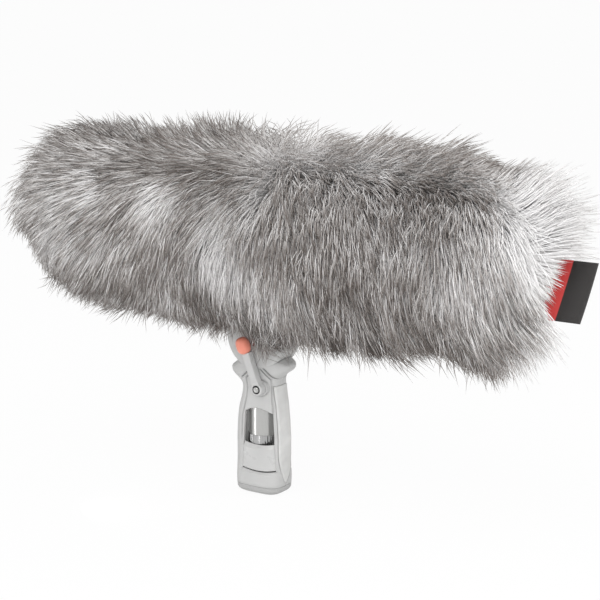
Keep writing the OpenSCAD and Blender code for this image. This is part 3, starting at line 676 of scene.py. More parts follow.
@dataclass(frozen=True)
class SoftRubber:
    """Matt rubber with a dusty bloom."""

    name: str
    colour: Colour
    roughness: float = 0.78

    def build(self) -> bpy.types.Material:
        """Make the material.

        Returns:
            The material.
        """
        graph = Graph(self.name)
        bloom = graph.noise(60.0, 5.0)
        graph.colour(graph.shades(bloom, self.colour, 0.9, 1.12, (0.35, 0.75)))
        graph.rough(graph.span(bloom, 0.3, 0.7, self.roughness - 0.08, self.roughness + 0.06))
        graph.bump(graph.noise(3000.0, 2.0), 0.00005, 0.4)
        return graph.material


@dataclass(frozen=True)
class KnittedCloth:
    """Knitted or woven cloth, with its threads as bump and colour."""

    name: str
    colour: Colour
    pitch: float = 0.0011

    def build(self) -> bpy.types.Material:
        """Make the material.

        Returns:
            The material.
        """
        graph = Graph(self.name)
        rows, columns = (graph.threads(direction, self.pitch, 0.6) for direction in ("X", "Z"))
        thread = graph.math("MULTIPLY", rows, columns)
        graph.colour(graph.shades(thread, self.colour, 0.55, 1.15, (0.05, 0.6)))
        graph.settings(Roughness=0.85)
        graph.bump(thread, self.pitch * 0.3, 0.6)
        return graph.material


@dataclass(frozen=True)
class FurStrand:
    """Acrylic pile: pale shafts that turn to dark brown-grey tips."""

    name: str
    shaft_dark: Colour = (0.67, 0.640, 0.622)
    shaft_pale: Colour = (0.95, 0.94, 0.94)
    tip_dark: Colour = (0.095, 0.078, 0.068)
    tip_pale: Colour = (0.80, 0.78, 0.77)

    def build(self) -> bpy.types.Material:
        """Make the material from each strand's tone and the way along it.

        Returns:
            The material.
        """
        graph = Graph(self.name)
        parts = graph.split(graph.node("ShaderNodeUVMap", uv_map=BAKE_MAP).outputs["UV"])
        tone, along = parts["X"], parts["Y"]
        shaft = graph.ramp(tone, [(0.0, self.shaft_dark), (0.8, self.shaft_pale)])
        middle = shade(self.tip_dark, 2.4)
        tip = graph.ramp(tone, [(0.0, self.tip_dark), (0.8, middle), (0.97, self.tip_pale)])
        turn = graph.math("SUBTRACT", along, graph.span(tone, 0.0, 1.0, 0.0, 0.14))
        graph.colour(graph.mix(graph.span(turn, 0.5, 0.88, soft=True), shaft, tip))
        graph.settings(Roughness=0.5, Specular_IOR_Level=0.35)
        return graph.material


@dataclass
class Basket:
    """Axis and outline of the mesh basket, read from the frame."""

    centre: Vector
    radius: float
    half: float
    dome: float
    pile: float
    pile_end: float

    @classmethod
    def from_frame(cls) -> "Basket":
        """Read the basket and the jacket round it from the frame.

        Returns:
            The basket.
        """
        low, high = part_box("basket_mesh")
        fur_low, fur_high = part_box("jacket_sleeve")
        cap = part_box("rear_cap_mesh")[1].x
        radius = (high.z - low.z) / 2.0
        return cls(centre=(low + high) / 2.0, radius=radius, half=(high.x - low.x) / 2.0, dome=cap - high.x,
                   pile=(fur_high.y - fur_low.y) / 2.0 - radius, pile_end=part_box("jacket_rear")[1].x - cap)


@dataclass(frozen=True)
class Patch:
    """Place where the pile changes: its middle along the basket and round it, its reach and the change."""

    x: float
    angle: float
    reach: float
    width: float
    change: float

    def at(self, x: np.ndarray, turn: np.ndarray) -> np.ndarray:
        """Give the change at places along the basket and round it in degrees."""
        aside = ((x - self.x) / self.reach) ** 2 + ((turn - self.angle) / self.width) ** 2
        return self.change * np.exp(-aside)


@dataclass
class FurJacket:
    """Long-pile jacket: a knitted backing over the basket and the strands that grow from it."""

    basket: Basket
    strands: int = 84_000
    stations: int = 6
    sides: int = 3
    length: float = 0.054
    width: float = 0.00062
    frizz: float = 0.0028
    stray_share: float = 0.06
    backing_gap: float = 0.0006
    backing_sides: int = 150
    backing_thick: float = 0.0012
    cut_share: float = 0.93
    seed: int = 11
    parting: float = 19.0
    parting_turn: float = 12.0
    parting_width: float = 40.0
    piece_limit: int = 195_000
    clump_size: float = 0.013
    lock_size: float = 0.009
    tuft_size: float = 0.0026
    hold: float = 0.015
    slot_x: tuple[float, float] = (-0.023, 0.0355)
    slot_y: float = 0.016
    channel_x: float = 0.165
    channel_y: float = 0.009
    label_shown: float = 0.035
    head_room: float = 0.031
    near_room: float = 0.0305
    far_room: float = 0.0175
    seam_past: float = 0.012
    seen_from: tuple[float, float, float] = (0.533, -0.820, 0.208)
    girth_lengths: tuple[tuple[str, float], ...] = (
        ("under", -0.14), ("above", -0.05), ("dip", -0.10), ("shoulder", -0.20))
    end_lengths: tuple[tuple[str, float], ...] = (
        ("low_front", -0.40), ("top_front", 0.02), ("low_rear", 0.22), ("far_rear", 0.10), ("crest", 0.17))
    leans: tuple[tuple[str, float], ...] = (
        ("past", -6.0), ("far_rear", -18.0), ("low_rear", -10.0), ("crest", -8.0))
    tone_patches: tuple[Patch, ...] = (
        Patch(-0.064, 68.0, 0.020, 14.0, 0.45),
        Patch(-0.002, 97.0, 0.023, 28.0, 0.85),
        Patch(-0.045, 46.0, 0.055, 12.0, -0.50),
        Patch(-0.108, 38.0, 0.032, 30.0, -0.40),
        Patch(-0.170, 102.0, 0.024, 30.0, 0.55),
        Patch(0.070, 78.0, 0.040, 26.0, -0.24),
        Patch(0.185, 42.0, 0.036, 12.0, -0.30),
        Patch(0.168, 78.0, 0.012, 28.0, 0.34),
        Patch(0.175, 5.0, 0.030, 25.0, 0.36),
        Patch(0.202, 96.0, 0.022, 26.0, 0.30),
        Patch(0.030, 122.0, 0.017, 34.0, 0.45),
        Patch(0.118, 60.0, 0.012, 12.0, -0.30),
        Patch(-0.105, 112.0, 0.050, 15.0, 0.20),
        Patch(0.078, 148.0, 0.009, 22.0, -0.50),
        Patch(0.117, 150.0, 0.010, 22.0, -0.60),
        Patch(0.232, 142.0, 0.014, 18.0, -0.24),
        Patch(-0.030, 135.0, 0.020, 15.0, -0.30),
        Patch(0.085, 8.0, 0.040, 15.0, 0.25),
    )
    length_patches: tuple[Patch, ...] = (
        Patch(-0.035, 155.0, 0.022, 28.0, -0.38),
        Patch(0.012, 140.0, 0.014, 30.0, 0.16),
        Patch(0.040, 155.0, 0.018, 28.0, 0.12),
        Patch(0.074, 132.0, 0.010, 20.0, 0.20),
        Patch(0.107, 138.0, 0.011, 20.0, 0.24),
        Patch(0.180, -15.0, 0.016, 42.0, -0.40),
        Patch(-0.205, 15.0, 0.030, 50.0, -0.12),
        Patch(0.165, 150.0, 0.020, 30.0, -0.14),
        Patch(0.225, 150.0, 0.020, 35.0, 0.12),
    )
    tufts: tuple[Patch, ...] = (
        Patch(0.080, 150.0, 0.010, 18.0, 0.85),
        Patch(0.120, 152.0, 0.011, 18.0, 0.85),
    )

    def roots(self, rng: np.random.Generator) -> np.ndarray:
        """Spread the roots evenly over the backing.

        Args:
            rng: Source of the small shifts.

        Returns:
            Roots in the basket's own frame.
        """
        basket = self.basket
        turn = np.linspace(-math.pi / 2.0, 0.0, 200)
        tube = np.linspace(-basket.half, basket.half, 400)[1:-1]
        bulge, rim = basket.dome * np.sin(turn), basket.radius * np.cos(turn)
        x = np.concatenate([-basket.half + bulge, tube, (basket.half - bulge)[::-1]])
        r = np.concatenate([rim, np.full(len(tube), basket.radius), rim[::-1]])
        step = np.hypot(np.diff(x), np.diff(r))
        area = np.concatenate([[0.0], np.cumsum((r[1:] + r[:-1]) * step)])
        count = self.strands
        at = (np.arange(count) + rng.uniform(0.0, 1.0, count)) / count * area[-1]
        golden = (math.sqrt(5.0) - 1.0) / 2.0
        angle = 2.0 * math.pi * ((np.arange(count) * golden) % 1.0) + rng.normal(0.0, 0.01, count)
        along, around = np.interp(at, area, x), np.interp(at, area, r)
        return np.stack([along, -around * np.sin(angle), around * np.cos(angle)], axis=1)

    def backing(self) -> bpy.types.Object:
        """Draw the knitted backing over the basket, open round the head and along the zip.

        Returns:
            The backing.
        """
        basket = self.basket
        gap, around = self.backing_gap, self.backing_sides
        turn = np.linspace(0.0, math.pi / 2.0, 24)
        tube = np.linspace(-basket.half, basket.half, 260)[1:-1]
        bulge, rim = (basket.dome + gap) * np.sin(turn), (basket.radius + gap) * np.cos(turn)
        x = np.concatenate([-basket.half - bulge[::-1], tube, basket.half + bulge])
        r = np.concatenate([rim[::-1], np.full(len(tube), basket.radius + gap), rim])
        r = np.maximum(r, 0.0004)
        angle = circle(around)
        grid = np.stack([np.repeat(x, around), -np.outer(r, np.sin(angle)).ravel(),
                         np.outer(r, np.cos(angle)).ravel()], axis=1)
        row = np.arange(around)
        first = (np.arange(len(x) - 1) * around)[:, None]
        here, following = first + row, first + (row + 1) % around
        faces = np.stack([here, following, following + around, here + around], axis=2)
        faces = faces.reshape(-1, 4)[:, ::-1]
        faces = faces[~self.open_places(grid[faces].mean(axis=1))]
        used, faces = np.unique(faces, return_inverse=True)
        piece = make_object("fur_backing", grid[used] + np.array(basket.centre), faces.reshape(-1, 4))
        shell = piece.modifiers.new("cloth", "SOLIDIFY")
        shell.thickness = self.backing_thick
        shell.offset = 1.0
        finish = KnittedCloth("fur_backing", (0.78, 0.76, 0.75), 0.0016).build()
        hang(piece, finish, Slot.FUR, Body.WINDSHIELD, "jacket_sleeve", "jacket_front", "jacket_rear")
        return piece

    def open_places(self, roots: np.ndarray) -> np.ndarray:
        """Say which roots lie in the opening for the head or on the zip.

        Args:
            roots: Roots in the basket's own frame.

        Returns:
            True for each root that is left out.
        """
        x = roots[:, 0] + self.basket.centre.x
        start, end = self.slot_x
        aside = np.abs(roots[:, 1])
        head = (x > start) & (x < end) & (aside < self.slot_y)
        zip_line = (x > end - 0.002) & (x < self.channel_x) & (aside < self.channel_y)
        return (roots[:, 2] < 0.0) & (head | zip_line)

    def normals(self, places: np.ndarray) -> np.ndarray:
        """Give the direction away from the basket.

        Args:
            places: Places in the pile, in the basket's own frame.

        Returns:
            One direction per place.
        """
        basket = self.basket
        past = np.sign(places[:, 0]) * np.maximum(np.abs(places[:, 0]) - basket.half, 0.0)
        end, side = basket.dome + basket.pile_end / 2.0, basket.radius + basket.pile / 2.0
        return unit(np.stack([past / end ** 2, places[:, 1] / side ** 2, places[:, 2] / side ** 2], axis=1))

    def comb(self, places: np.ndarray, flow: np.ndarray, swirl: np.ndarray) -> np.ndarray:
        """Give the way that the pile is brushed.

        Args:
            places: Places in the pile, in the basket's own frame.
            flow: 1 for hair that falls on the near side of the parting, -1 on the far side.
            swirl: Random sideways brushing of each strand.

        Returns:
            One direction per place, not yet laid along the surface.
        """
        basket = self.basket
        turn = turn_round(places)
        u = places[:, 0] / basket.half
        rad = np.radians(turn)
        around = np.stack([np.zeros_like(rad), -np.cos(rad), -np.sin(rad)], axis=1)
        droop = 1.0 - 0.85 * smooth(np.abs(turn), 105.0, 175.0)
        near = smooth(flow, -0.4, 0.4)
        left = smooth(-u, 0.25, 1.0)
        right = smooth(u, -0.1, 0.9)
        ridge = (1.0 - np.abs(flow)) * (2.0 * smooth(u, -0.2, 0.35) - 1.0)
        end = smooth(u + 0.15 * swirl, 0.96, 1.18)
        near_x = -0.8 * left + 0.42 * right * (1.0 - 0.8 * end)
        top_x = -1.1 * left + 0.85 * right
        sideways = near * near_x + (1.0 - near) * top_x + 1.25 * ridge + swirl
        front = smooth(-u, 0.98, 1.12)
        rear = end * smooth(places[:, 1], -0.022, -0.006)
        push = around * (flow * droop * (1.0 - rear) * (1.0 - 0.6 * front))[:, None]
        push[:, 0] += sideways * (1.0 - 0.7 * rear)
        push[:, 2] -= 0.35 + 0.55 * front
        crown = unit(np.stack([np.zeros_like(rad), places[:, 1] + 0.016, places[:, 2]], axis=1))
        crown[:, 1] += 0.7
        return push + crown * (0.9 * rear)[:, None]

    def regions(self, roots: np.ndarray, turn: np.ndarray) -> dict[str, np.ndarray]:
        """Say how far each root lies in each region where the pile differs, from 0 to 1.

        Args:
            roots: Roots in the basket's own frame.
            turn: Angle of each root round the basket in degrees.

        Returns:
            Shares by the region's name.
        """
        u = roots[:, 0] / self.basket.half
        past = smooth(u, 0.94, 1.16)
        above = smooth(-np.abs(turn), -70.0, -15.0)
        far_rear = past * smooth(roots[:, 1], -0.02, 0.0)
        return {
            "past": past,
            "above": above,
            "far_rear": far_rear,
            "under": smooth(np.abs(turn), 118.0, 172.0),
            "low_front": smooth(-u, 0.72, 1.0) * smooth(turn, 50.0, 100.0),
            "top_front": smooth(-u, 0.55, 0.85) * above,
            "dip": np.exp(-((roots[:, 0] + 0.075) / 0.03) ** 2) * above,
            "shoulder": smooth(u, 0.66, 0.98) * above * (1.0 - far_rear),
            "low_rear": smooth(u, 0.85, 1.05) * smooth(turn, 95.0, 140.0),
            "crest": past * smooth(roots[:, 2], -0.01, 0.025),
        }

    def paths(self, roots: np.ndarray, rng: np.random.Generator) -> np.ndarray:
        """Grow each strand from its root.

        Args:
            roots: Roots in the basket's own frame.
            rng: Source of the differences between strands.

        Returns:
            Points as strand, station, coordinate.
        """
        count = len(roots)
        turn = turn_round(roots)
        owner, locks = self.locks(roots, self.clump_size, rng)
        turn_shift = 8.0 * ripple(roots, 0.09, rng)
        turn_shift += rng.normal(0.0, 6.0, locks)[owner] + rng.normal(0.0, 6.0, count)
        parting = self.parting - self.parting_turn * smooth(roots[:, 0] / self.basket.half, 0.1, 0.9)
        flow = np.tanh((turn - parting - turn_shift) / self.parting_width)
        swirl = 0.2 * ripple(roots, 0.05, rng)
        swirl += rng.normal(0.0, 0.18, locks)[owner] + rng.normal(0.0, 0.15, count)
        bend = rng.normal(0.0, 0.5, count) + 0.3 * rng.normal(0.0, 1.0, locks)[owner]
        bend *= 0.3 + 0.7 * np.abs(flow)
        stray = rng.random(count) < self.stray_share
        shares = self.regions(roots, turn)
        size = self.length * (1.03 + rng.normal(0.0, 0.07, locks)[owner] - rng.uniform(-0.06, 0.42, count))
        for table in (self.girth_lengths, self.end_lengths):
            size *= 1.0 + sum(change * shares[region] for region, change in table)
        size *= 1.0 + sum(patch.at(roots[:, 0], turn) for patch in self.length_patches)
        size = np.clip(size, 0.5 * self.length, 1.45 * self.length)
        lean_end = 74.0 + rng.normal(0.0, 6.0, count) + rng.normal(0.0, 6.0, locks)[owner]
        lean_end += 7.0 * ripple(roots, 0.035, rng) - 14.0 * stray
        lean_end += sum(change * shares[region] for region, change in self.leans)
        lean_start = 26.0 + 8.0 * rng.normal(size=count)
        points = np.empty((count, self.stations, 3))
        points[:, 0] = roots
        steps = self.stations - 1
        for k in range(steps):
            here = points[:, k]
            out = self.normals(here)
            push = self.comb(here, flow, swirl + bend * (k / steps - 0.35))
            flat = push - out * np.sum(push * out, axis=1, keepdims=True)
            pull = np.clip(np.linalg.norm(flat, axis=1), 0.0, 1.0)
            lean = lean_start + (lean_end - lean_start) * ((k + 0.6) / steps) ** 0.8
            lean = np.radians(np.clip(lean * (0.35 + 0.65 * pull), 4.0, 84.0))
            heading = out * np.cos(lean)[:, None] + unit(flat) * np.sin(lean)[:, None]
            points[:, k + 1] = here + heading * (size / steps)[:, None]
        t = np.linspace(0.0, 1.0, self.stations)
        frizz = rng.normal(0.0, self.frizz, (count, 1, 3)) * (t ** 2)[None, :, None]
        return points + frizz

    def locks(self, roots: np.ndarray, size: float, rng: np.random.Generator) -> tuple[np.ndarray, int]:
        """Share the strands out among locks.

        Args:
            roots: Roots in the basket's own frame.
            size: Distance between locks in metres.
            rng: Source of the locks' places.

        Returns:
            Each strand's lock, and how many locks there are.
        """
        basket = self.basket
        whole = 2.0 * math.pi * basket.radius * 2.0 * (basket.half + basket.dome)
        number = int(whole / (0.85 * size ** 2))
        tree = KDTree(number)
        for index, head in enumerate(rng.choice(len(roots), number, replace=False)):
            tree.insert(roots[head], index)
        tree.balance()
        return np.array([tree.find(root)[1] for root in roots]), number

    def gather(self, points: np.ndarray, size: float, pull: tuple[float, float],
               rng: np.random.Generator) -> np.ndarray:
        """Draw strands together into locks with pointed ends.

        Args:
            points: Points as strand, station, coordinate.
            size: Distance between locks in metres.
            pull: Least and most share of the way to the lock's middle at the tips.
            rng: Source of the locks' places.

        Returns:
            The gathered points.
        """
        count = len(points)
        owner, locks = self.locks(points[:, 0], size, rng)
        total = np.bincount(owner, minlength=locks)
        middle = np.empty((locks, self.stations, 3))
        for k in range(self.stations):
            for axis in range(3):
                middle[:, k, axis] = np.bincount(owner, points[:, k, axis], locks) / np.maximum(total, 1)
        t = np.linspace(0.0, 1.0, self.stations)
        apart = np.linalg.norm(middle[owner, -1] - points[:, -1], axis=1)
        share = rng.uniform(*pull, locks)[owner] * rng.uniform(0.6, 1.0, count)
        share *= np.exp(-(apart / self.hold) ** 2)
        weight = share[:, None] * (t ** 1.4)[None, :]
        return points + (middle[owner] - points) * weight[:, :, None]

    def pinch(self, points: np.ndarray) -> np.ndarray:
        """Draw the hair of each hanging tuft to a point.

        Args:
            points: Points as strand, station, coordinate.

        Returns:
            The drawn points.
        """
        t = np.linspace(0.0, 1.0, self.stations)
        for tuft in self.tufts:
            tips = points[:, -1]
            near = tuft.at(tips[:, 0], turn_round(tips))
            middle = np.average(points, axis=0, weights=near)
            middle[:, 2] -= 0.004 * t ** 2
            points = points + (middle - points) * (near[:, None] * t ** 1.4)[:, :, None]
        return points

    def clear_head(self, points: np.ndarray, rng: np.random.Generator) -> np.ndarray:
        """Keep hair out of the room round the tilting head and the zip.

        Args:
            points: Points in the basket's own frame.
            rng: Source of the small differences between strands.

        Returns:
            The moved points.
        """
        moved = points + np.array(self.basket.centre)
        low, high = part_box("tilt_bolt")
        axis_z = (low.z + high.z) / 2.0
        reach = np.hypot(moved[..., 0], moved[..., 2] - axis_z)
        spread = rng.uniform(0.0, 0.006, points.shape[:1])[:, None]
        near_face, far_face = -self.near_room - spread, self.far_room + spread
        inside = (reach < self.head_room) & (moved[..., 1] > near_face) & (moved[..., 1] < far_face)
        to_near = moved[..., 1] < -0.002
        moved[..., 1] = np.where(inside, np.where(to_near, near_face, far_face), moved[..., 1])
        return moved - np.array(self.basket.centre)

    def shorten(self, points: np.ndarray, blocked: np.ndarray, least: float) -> np.ndarray:
        """Shorten strands so that they end before the first blocked point.

        Args:
            points: Points as strand, station, coordinate.
            blocked: True for each point that is in the way.
            least: Share of a strand that is kept in any case.

        Returns:
            The shortened strands.
        """
        first = np.where(blocked.any(axis=1), blocked.argmax(axis=1), self.stations)
        keep = np.clip((first - 0.6) / (self.stations - 1), least, 1.0)
        at = np.linspace(0.0, 1.0, self.stations)[None, :] * keep[:, None] * (self.stations - 1)
        lower = np.clip(at.astype(int), 0, self.stations - 2)
        part = (at - lower)[..., None]
        rows = np.arange(len(points))[:, None]
        return points[rows, lower] * (1.0 - part) + points[rows, lower + 1] * part

    def clear_knob(self, points: np.ndarray, rng: np.random.Generator) -> np.ndarray:
        """Shorten hair that hangs in front of the lever's knob, where a thumb has to reach it.

        Args:
            points: Points in the basket's own frame.
            rng: Source of the small differences between strands.

        Returns:
            The shortened strands.
        """
        low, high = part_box("lever_knob")
        knob = np.array((low + high) / 2.0) - np.array(self.basket.centre)
        way = unit(np.array(self.seen_from))
        offset = points - knob
        ahead = offset @ way
        aside = np.linalg.norm(offset - ahead[..., None] * way, axis=2)
        room = rng.uniform(0.0055, 0.0085, len(points))[:, None]
        return self.shorten(points, (ahead > 0.0) & (aside < room), 0.35)

    def clear_label(self, points: np.ndarray, rng: np.random.Generator) -> np.ndarray:
        """Shorten hair that would hide the outer half of the sewn label.

        Args:
            points: Points in the basket's own frame.
            rng: Source of the small differences between strands.

        Returns:
            The shortened strands.
        """
        low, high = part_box("label_tag")
        reach = (high - low) / 2.0
        along = np.array([0.0, reach.y, reach.z])
        face = unit(np.cross([1.0, 0.0, 0.0], along))
        way = unit(np.array(self.seen_from))
        offset = points - (np.array((low + high) / 2.0) - np.array(self.basket.centre))
        rise = offset @ face
        flat = offset - way * (rise / (way @ face))[..., None]
        edge = reach.x - self.label_shown + rng.uniform(-0.003, 0.004, len(points))[:, None]
        beside = np.abs(flat @ unit(along)) < np.linalg.norm(along) + 0.0005
        blocked = (rise > -0.001) & beside & (flat[..., 0] > edge) & (flat[..., 0] < reach.x + 0.002)
        return self.shorten(points, blocked, 0.12)

    def within(self, points: np.ndarray) -> np.ndarray:
        """Draw in the few strands that would pass the room round the part.

        Args:
            points: Points in the basket's own frame.

        Returns:
            The strands, none of which leaves the room.
        """
        low, high = (np.array(corner) - np.array(self.basket.centre) for corner in CAD_BOX)
        spare = 0.03 * (high - low) + 0.009
        roots = points[:, :1]
        away = points - roots
        limit = np.where(away > 0.0, high + spare - roots, low - spare - roots)
        moves = np.abs(away) > 1e-6
        share = np.where(moves, limit / np.where(moves, away, 1.0), 1.0)
        return roots + away * np.clip(share.min(axis=(1, 2)), 0.2, 1.0)[:, None, None]

    def tones(self, points: np.ndarray, rng: np.random.Generator) -> np.ndarray:
        """Give each strand its tone, dark at 0 and pale at 1, with painted shade underneath and along the
        top.

        Args:
            points: Points as strand, station, coordinate, in the basket's own frame.
            rng: Source of the differences between strands.

        Returns:
            One tone per strand.
        """
        roots, outer = points[:, 0], points[:, -2]
        tone = 0.475 + 0.11 * rng.normal(size=len(roots)) + 0.12 * ripple(roots, 0.03, rng)
        tone += 0.26 * (rng.random(len(roots)) < 0.24)
        turn = turn_round(outer)
        for patch in self.tone_patches:
            tone += patch.at(outer[:, 0], turn)
        # Painted shade: strands underneath the basket and along its top are given darker tones.
        tone -= 0.11 * smooth(turn, 100.0, 145.0) + 0.21 * smooth(-np.abs(turn), -35.0, -5.0)
        # Pale hair on the crown of the rear end, where the pile parts and shows its pale shafts; part of this
        # paleness is painted light on the brightly lit end.
        past = (roots[:, 0] - self.basket.half) / self.basket.dome
        crown = smooth(past, 0.2, 0.7)
        crown *= smooth(roots[:, 1], -0.036, -0.014)
        return np.clip(tone + 0.58 * crown, 0.02, 0.98)

    def tubes(self, points: np.ndarray, tone: np.ndarray) -> tuple[np.ndarray, np.ndarray, np.ndarray]:
        """Turn strands into closed tapering tubes.

        Args:
            points: Points as strand, station, coordinate, in the object's frame.
            tone: Tone of each strand.

        Returns:
            Vertices, triangles and map coordinates.
        """
        count, stations, sides = len(points), self.stations, self.sides
        heading = unit(np.gradient(points, axis=1))
        away = unit(points[:, :1] - np.array(self.basket.centre)) + np.array([0.013, 0.007, 0.021])
        across = unit(np.cross(heading, away))
        third = np.cross(heading, across)
        t = np.linspace(0.0, 1.0, stations)
        girth = 0.5 * self.width * (0.8 + 0.3 * np.sin(math.pi * t) - 0.15 * t)
        rings = []
        for side in range(sides):
            turn = 2.0 * math.pi * side / sides
            offset = across * math.cos(turn) + third * math.sin(turn)
            rings.append(points + offset * girth[None, :, None])
        tube = np.stack(rings, axis=2)[:, :-1].reshape(count, (stations - 1) * sides, 3)
        body = np.concatenate([tube, points[:, -1:]], axis=1)
        tip = (stations - 1) * sides
        pattern = [[2, 1, 0]]
        for k in range(stations - 2):
            for side in range(sides):
                a, c = k * sides + side, k * sides + (side + 1) % sides
                pattern += [[a, c, c + sides], [a, c + sides, a + sides]]
        last = (stations - 2) * sides
        pattern += [[last + side, last + (side + 1) % sides, tip] for side in range(sides)]
        each = body.shape[1]
        faces = np.array(pattern)[None] + (np.arange(count) * each)[:, None, None]
        along = np.append(np.repeat(t[:-1], sides), 1.0)
        uv = np.stack([np.repeat(tone, each), np.tile(along, count)], axis=1)
        return body.reshape(-1, 3), faces.reshape(-1, 3), uv

    def build(self) -> list[bpy.types.Object]:
        """Make the pile and hang it on the windscreen.

        Returns:
            The pieces of fur.
        """
        rng = np.random.default_rng(self.seed)
        cloth = self.backing()
        roots = self.roots(rng)
        roots = roots[~self.open_places(roots)]
        points = self.paths(roots, rng)
        points = self.gather(points, self.lock_size, (0.05, 0.35), rng)
        points = self.gather(points, self.tuft_size, (0.3, 0.85), rng)
        points = self.pinch(points)
        points = self.clear_head(points, rng)
        points = self.clear_knob(points, rng)
        points = self.within(self.clear_label(points, rng))
        tone = self.tones(points, rng)
        finish = FurStrand("fur_pile").build()
        seam = self.basket.half + self.seam_past
        stretches = {"jacket_front": roots[:, 0] < -seam, "jacket_rear": roots[:, 0] > seam,
                     "jacket_sleeve": np.abs(roots[:, 0]) <= seam}
        triangles = 2 * self.sides * (self.stations - 2) + self.sides + 1
        most = self.piece_limit // triangles
        pieces = []
        for node, chosen in stretches.items():
            order = np.flatnonzero(chosen)
            order = order[np.argsort(roots[order, 0], kind="stable")]
            for number, part in enumerate(np.array_split(order, -(-len(order) // most))):
                arrays = self.tubes(points[part] + np.array(self.basket.centre), tone[part])
                piece = make_object(f"fur_{node[7:]}_{number + 1}", *arrays)
                hang(piece, finish, Slot.FUR, Body.WINDSHIELD, node)
                pieces.append(piece)
        return pieces


@dataclass
class GripForm:
    """Outer form of the grip in millimetres, as the part's source has it."""

    width: float = 43.0
    base: float = 39.0
    waist: float = 34.0
    flare: float = 55.0
    neck: float = 41.0
    thick: float = 32.0
    waist_thick: float = 29.0
    flare_z: float = 102.0
    flare_step: float = 6.0
    power: float = 2.8
    foot_power: float = 3.6
    pinch: float = 1.8
    stop_below: float = 6.6
    stop_above: float = 5.6

    def __post_init__(self) -> None:
        """Smooth the outline's stations into even curves."""
        half, side, top = self.width / 2.0, self.thick / 2.0, self.flare_z
        foot, waist, waist_side = self.base / 2.0, self.waist / 2.0, self.waist_thick / 2.0
        wide = [(0.0, foot - 2.0), (0.8, foot - 0.5), (1.8, foot + 0.4), (3.0, foot + 1.0),
                (10.0, half - 0.5), (25.0, half - 0.1), (45.0, half), (58.0, half - 0.8),
                (70.0, (half + waist) / 2.0 + 0.3), (80.0, waist + 0.8), (top - 12.0, waist),
                (top + 11.0, self.neck / 2.0)]
        deep = [(0.0, side - 3.2), (0.8, side - 1.9), (1.8, side - 1.0), (3.0, side - 0.5), (10.0, side),
                (60.0, side), (80.0, (side + waist_side) / 2.0), (90.0, waist_side),
                (120.0, waist_side - 0.7)]
        self.heights = np.arange(0.0, 125.0, 0.1)
        near = np.exp(-0.5 * (np.arange(-60, 61) / 18.0) ** 2)
        lines = []
        for stations in (wide, deep):
            at, size = (np.array(column) for column in zip(*stations))
            line = np.interp(self.heights, at, size)
            even = np.convolve(np.pad(line, 60, mode="edge"), near / near.sum(), mode="valid")
            share = smooth(self.heights, 3.0, 8.0)
            lines.append(line * (1.0 - share) + even * share)
        self.wide, self.deep = lines
        self.stop = self.flare / 2.0 - float(np.interp(top, self.heights, self.wide))

    def half_width(self, z: np.ndarray, front: bool) -> np.ndarray:
        """Give the distance from the axis to the front or the back edge.

        Args:
            z: Heights.
            front: Whether the front edge is asked for.

        Returns:
            One distance per height.
        """
        lift = (0.5 if front else -0.5) * self.flare_step * smooth(z, 55.0, 88.0)
        off = z + lift - self.flare_z
        fall = np.where(off < 0.0, self.stop_below, self.stop_above)
        stop = self.stop * np.exp(-(np.abs(off) / fall) ** 2.6)
        pinch = self.pinch * np.exp(-((z - 85.0) / 11.0) ** 2) if front else 0.0
        return np.interp(z + lift, self.heights, self.wide) + stop - pinch

    def squareness(self, z: np.ndarray) -> np.ndarray:
        """Give the power of the outline at each height: squarer at the foot."""
        return self.power + (self.foot_power - self.power) * (1.0 - smooth(z, 5.0, 30.0))

    def half_thick(self, z: np.ndarray) -> np.ndarray:
        """Give the distance from the middle plane to the side at each height."""
        return np.interp(z, self.heights, self.deep)

    def depth(self, x: np.ndarray, z: np.ndarray) -> np.ndarray:
        """Give the distance from the middle plane to the surface.

        Args:
            x: Places from front to back.
            z: Their heights.

        Returns:
            One distance per place.
        """
        wide = np.where(x < 0.0, self.half_width(z, True), self.half_width(z, False))
        share = np.clip(np.abs(x) / wide, 0.0, 1.0)
        power = self.squareness(z)
        return self.half_thick(z) * (1.0 - share ** power) ** (1.0 / power)

    def reach(self, y: np.ndarray, z: np.ndarray) -> np.ndarray:
        """Give the distance from the axis to the back of the grip.

        Args:
            y: Places across it.
            z: Their heights.

        Returns:
            One distance per place.
        """
        share = np.clip(np.abs(y) / self.half_thick(z), 0.0, 1.0)
        power = self.squareness(z)
        return self.half_width(z, False) * (1.0 - share ** power) ** (1.0 / power)

    def rings(self, heights: np.ndarray, columns: int, start: float = 0.0, end: float = 360.0,
              inset: float = 0.0) -> np.ndarray:
        """Draw the outline at each height, with even steps along it.

        Args:
            heights: Height of each ring.
            columns: Points in a ring.
            start: First angle in degrees, from the back, over the far side.
            end: Last angle in degrees.
            inset: Distance inside the outer form.

        Returns:
            Points as ring, place round it, coordinate.
        """
        turn = np.radians(np.linspace(start, end, 721))
        cos, sin = np.cos(turn), np.sin(turn)
        made = np.empty((len(heights), columns, 3))
        for row, z in enumerate(heights):
            level = np.array([z])
            power = self.squareness(level)[0]
            across = np.sign(cos) * np.abs(cos) ** (2.0 / power)
            deep = np.sign(sin) * np.abs(sin) ** (2.0 / power)
            front, back = self.half_width(level, True)[0] - inset, self.half_width(level, False)[0] - inset
            x = np.where(cos < 0.0, front, back) * across
            y = (self.half_thick(level)[0] - inset) * deep
            run = np.concatenate([[0.0], np.cumsum(np.hypot(np.diff(x), np.diff(y)))])
            at = np.linspace(0.0, run[-1], columns)
            made[row, :, 0], made[row, :, 1] = np.interp(at, run, x), np.interp(at, run, y)
            made[row, :, 2] = z
        return made

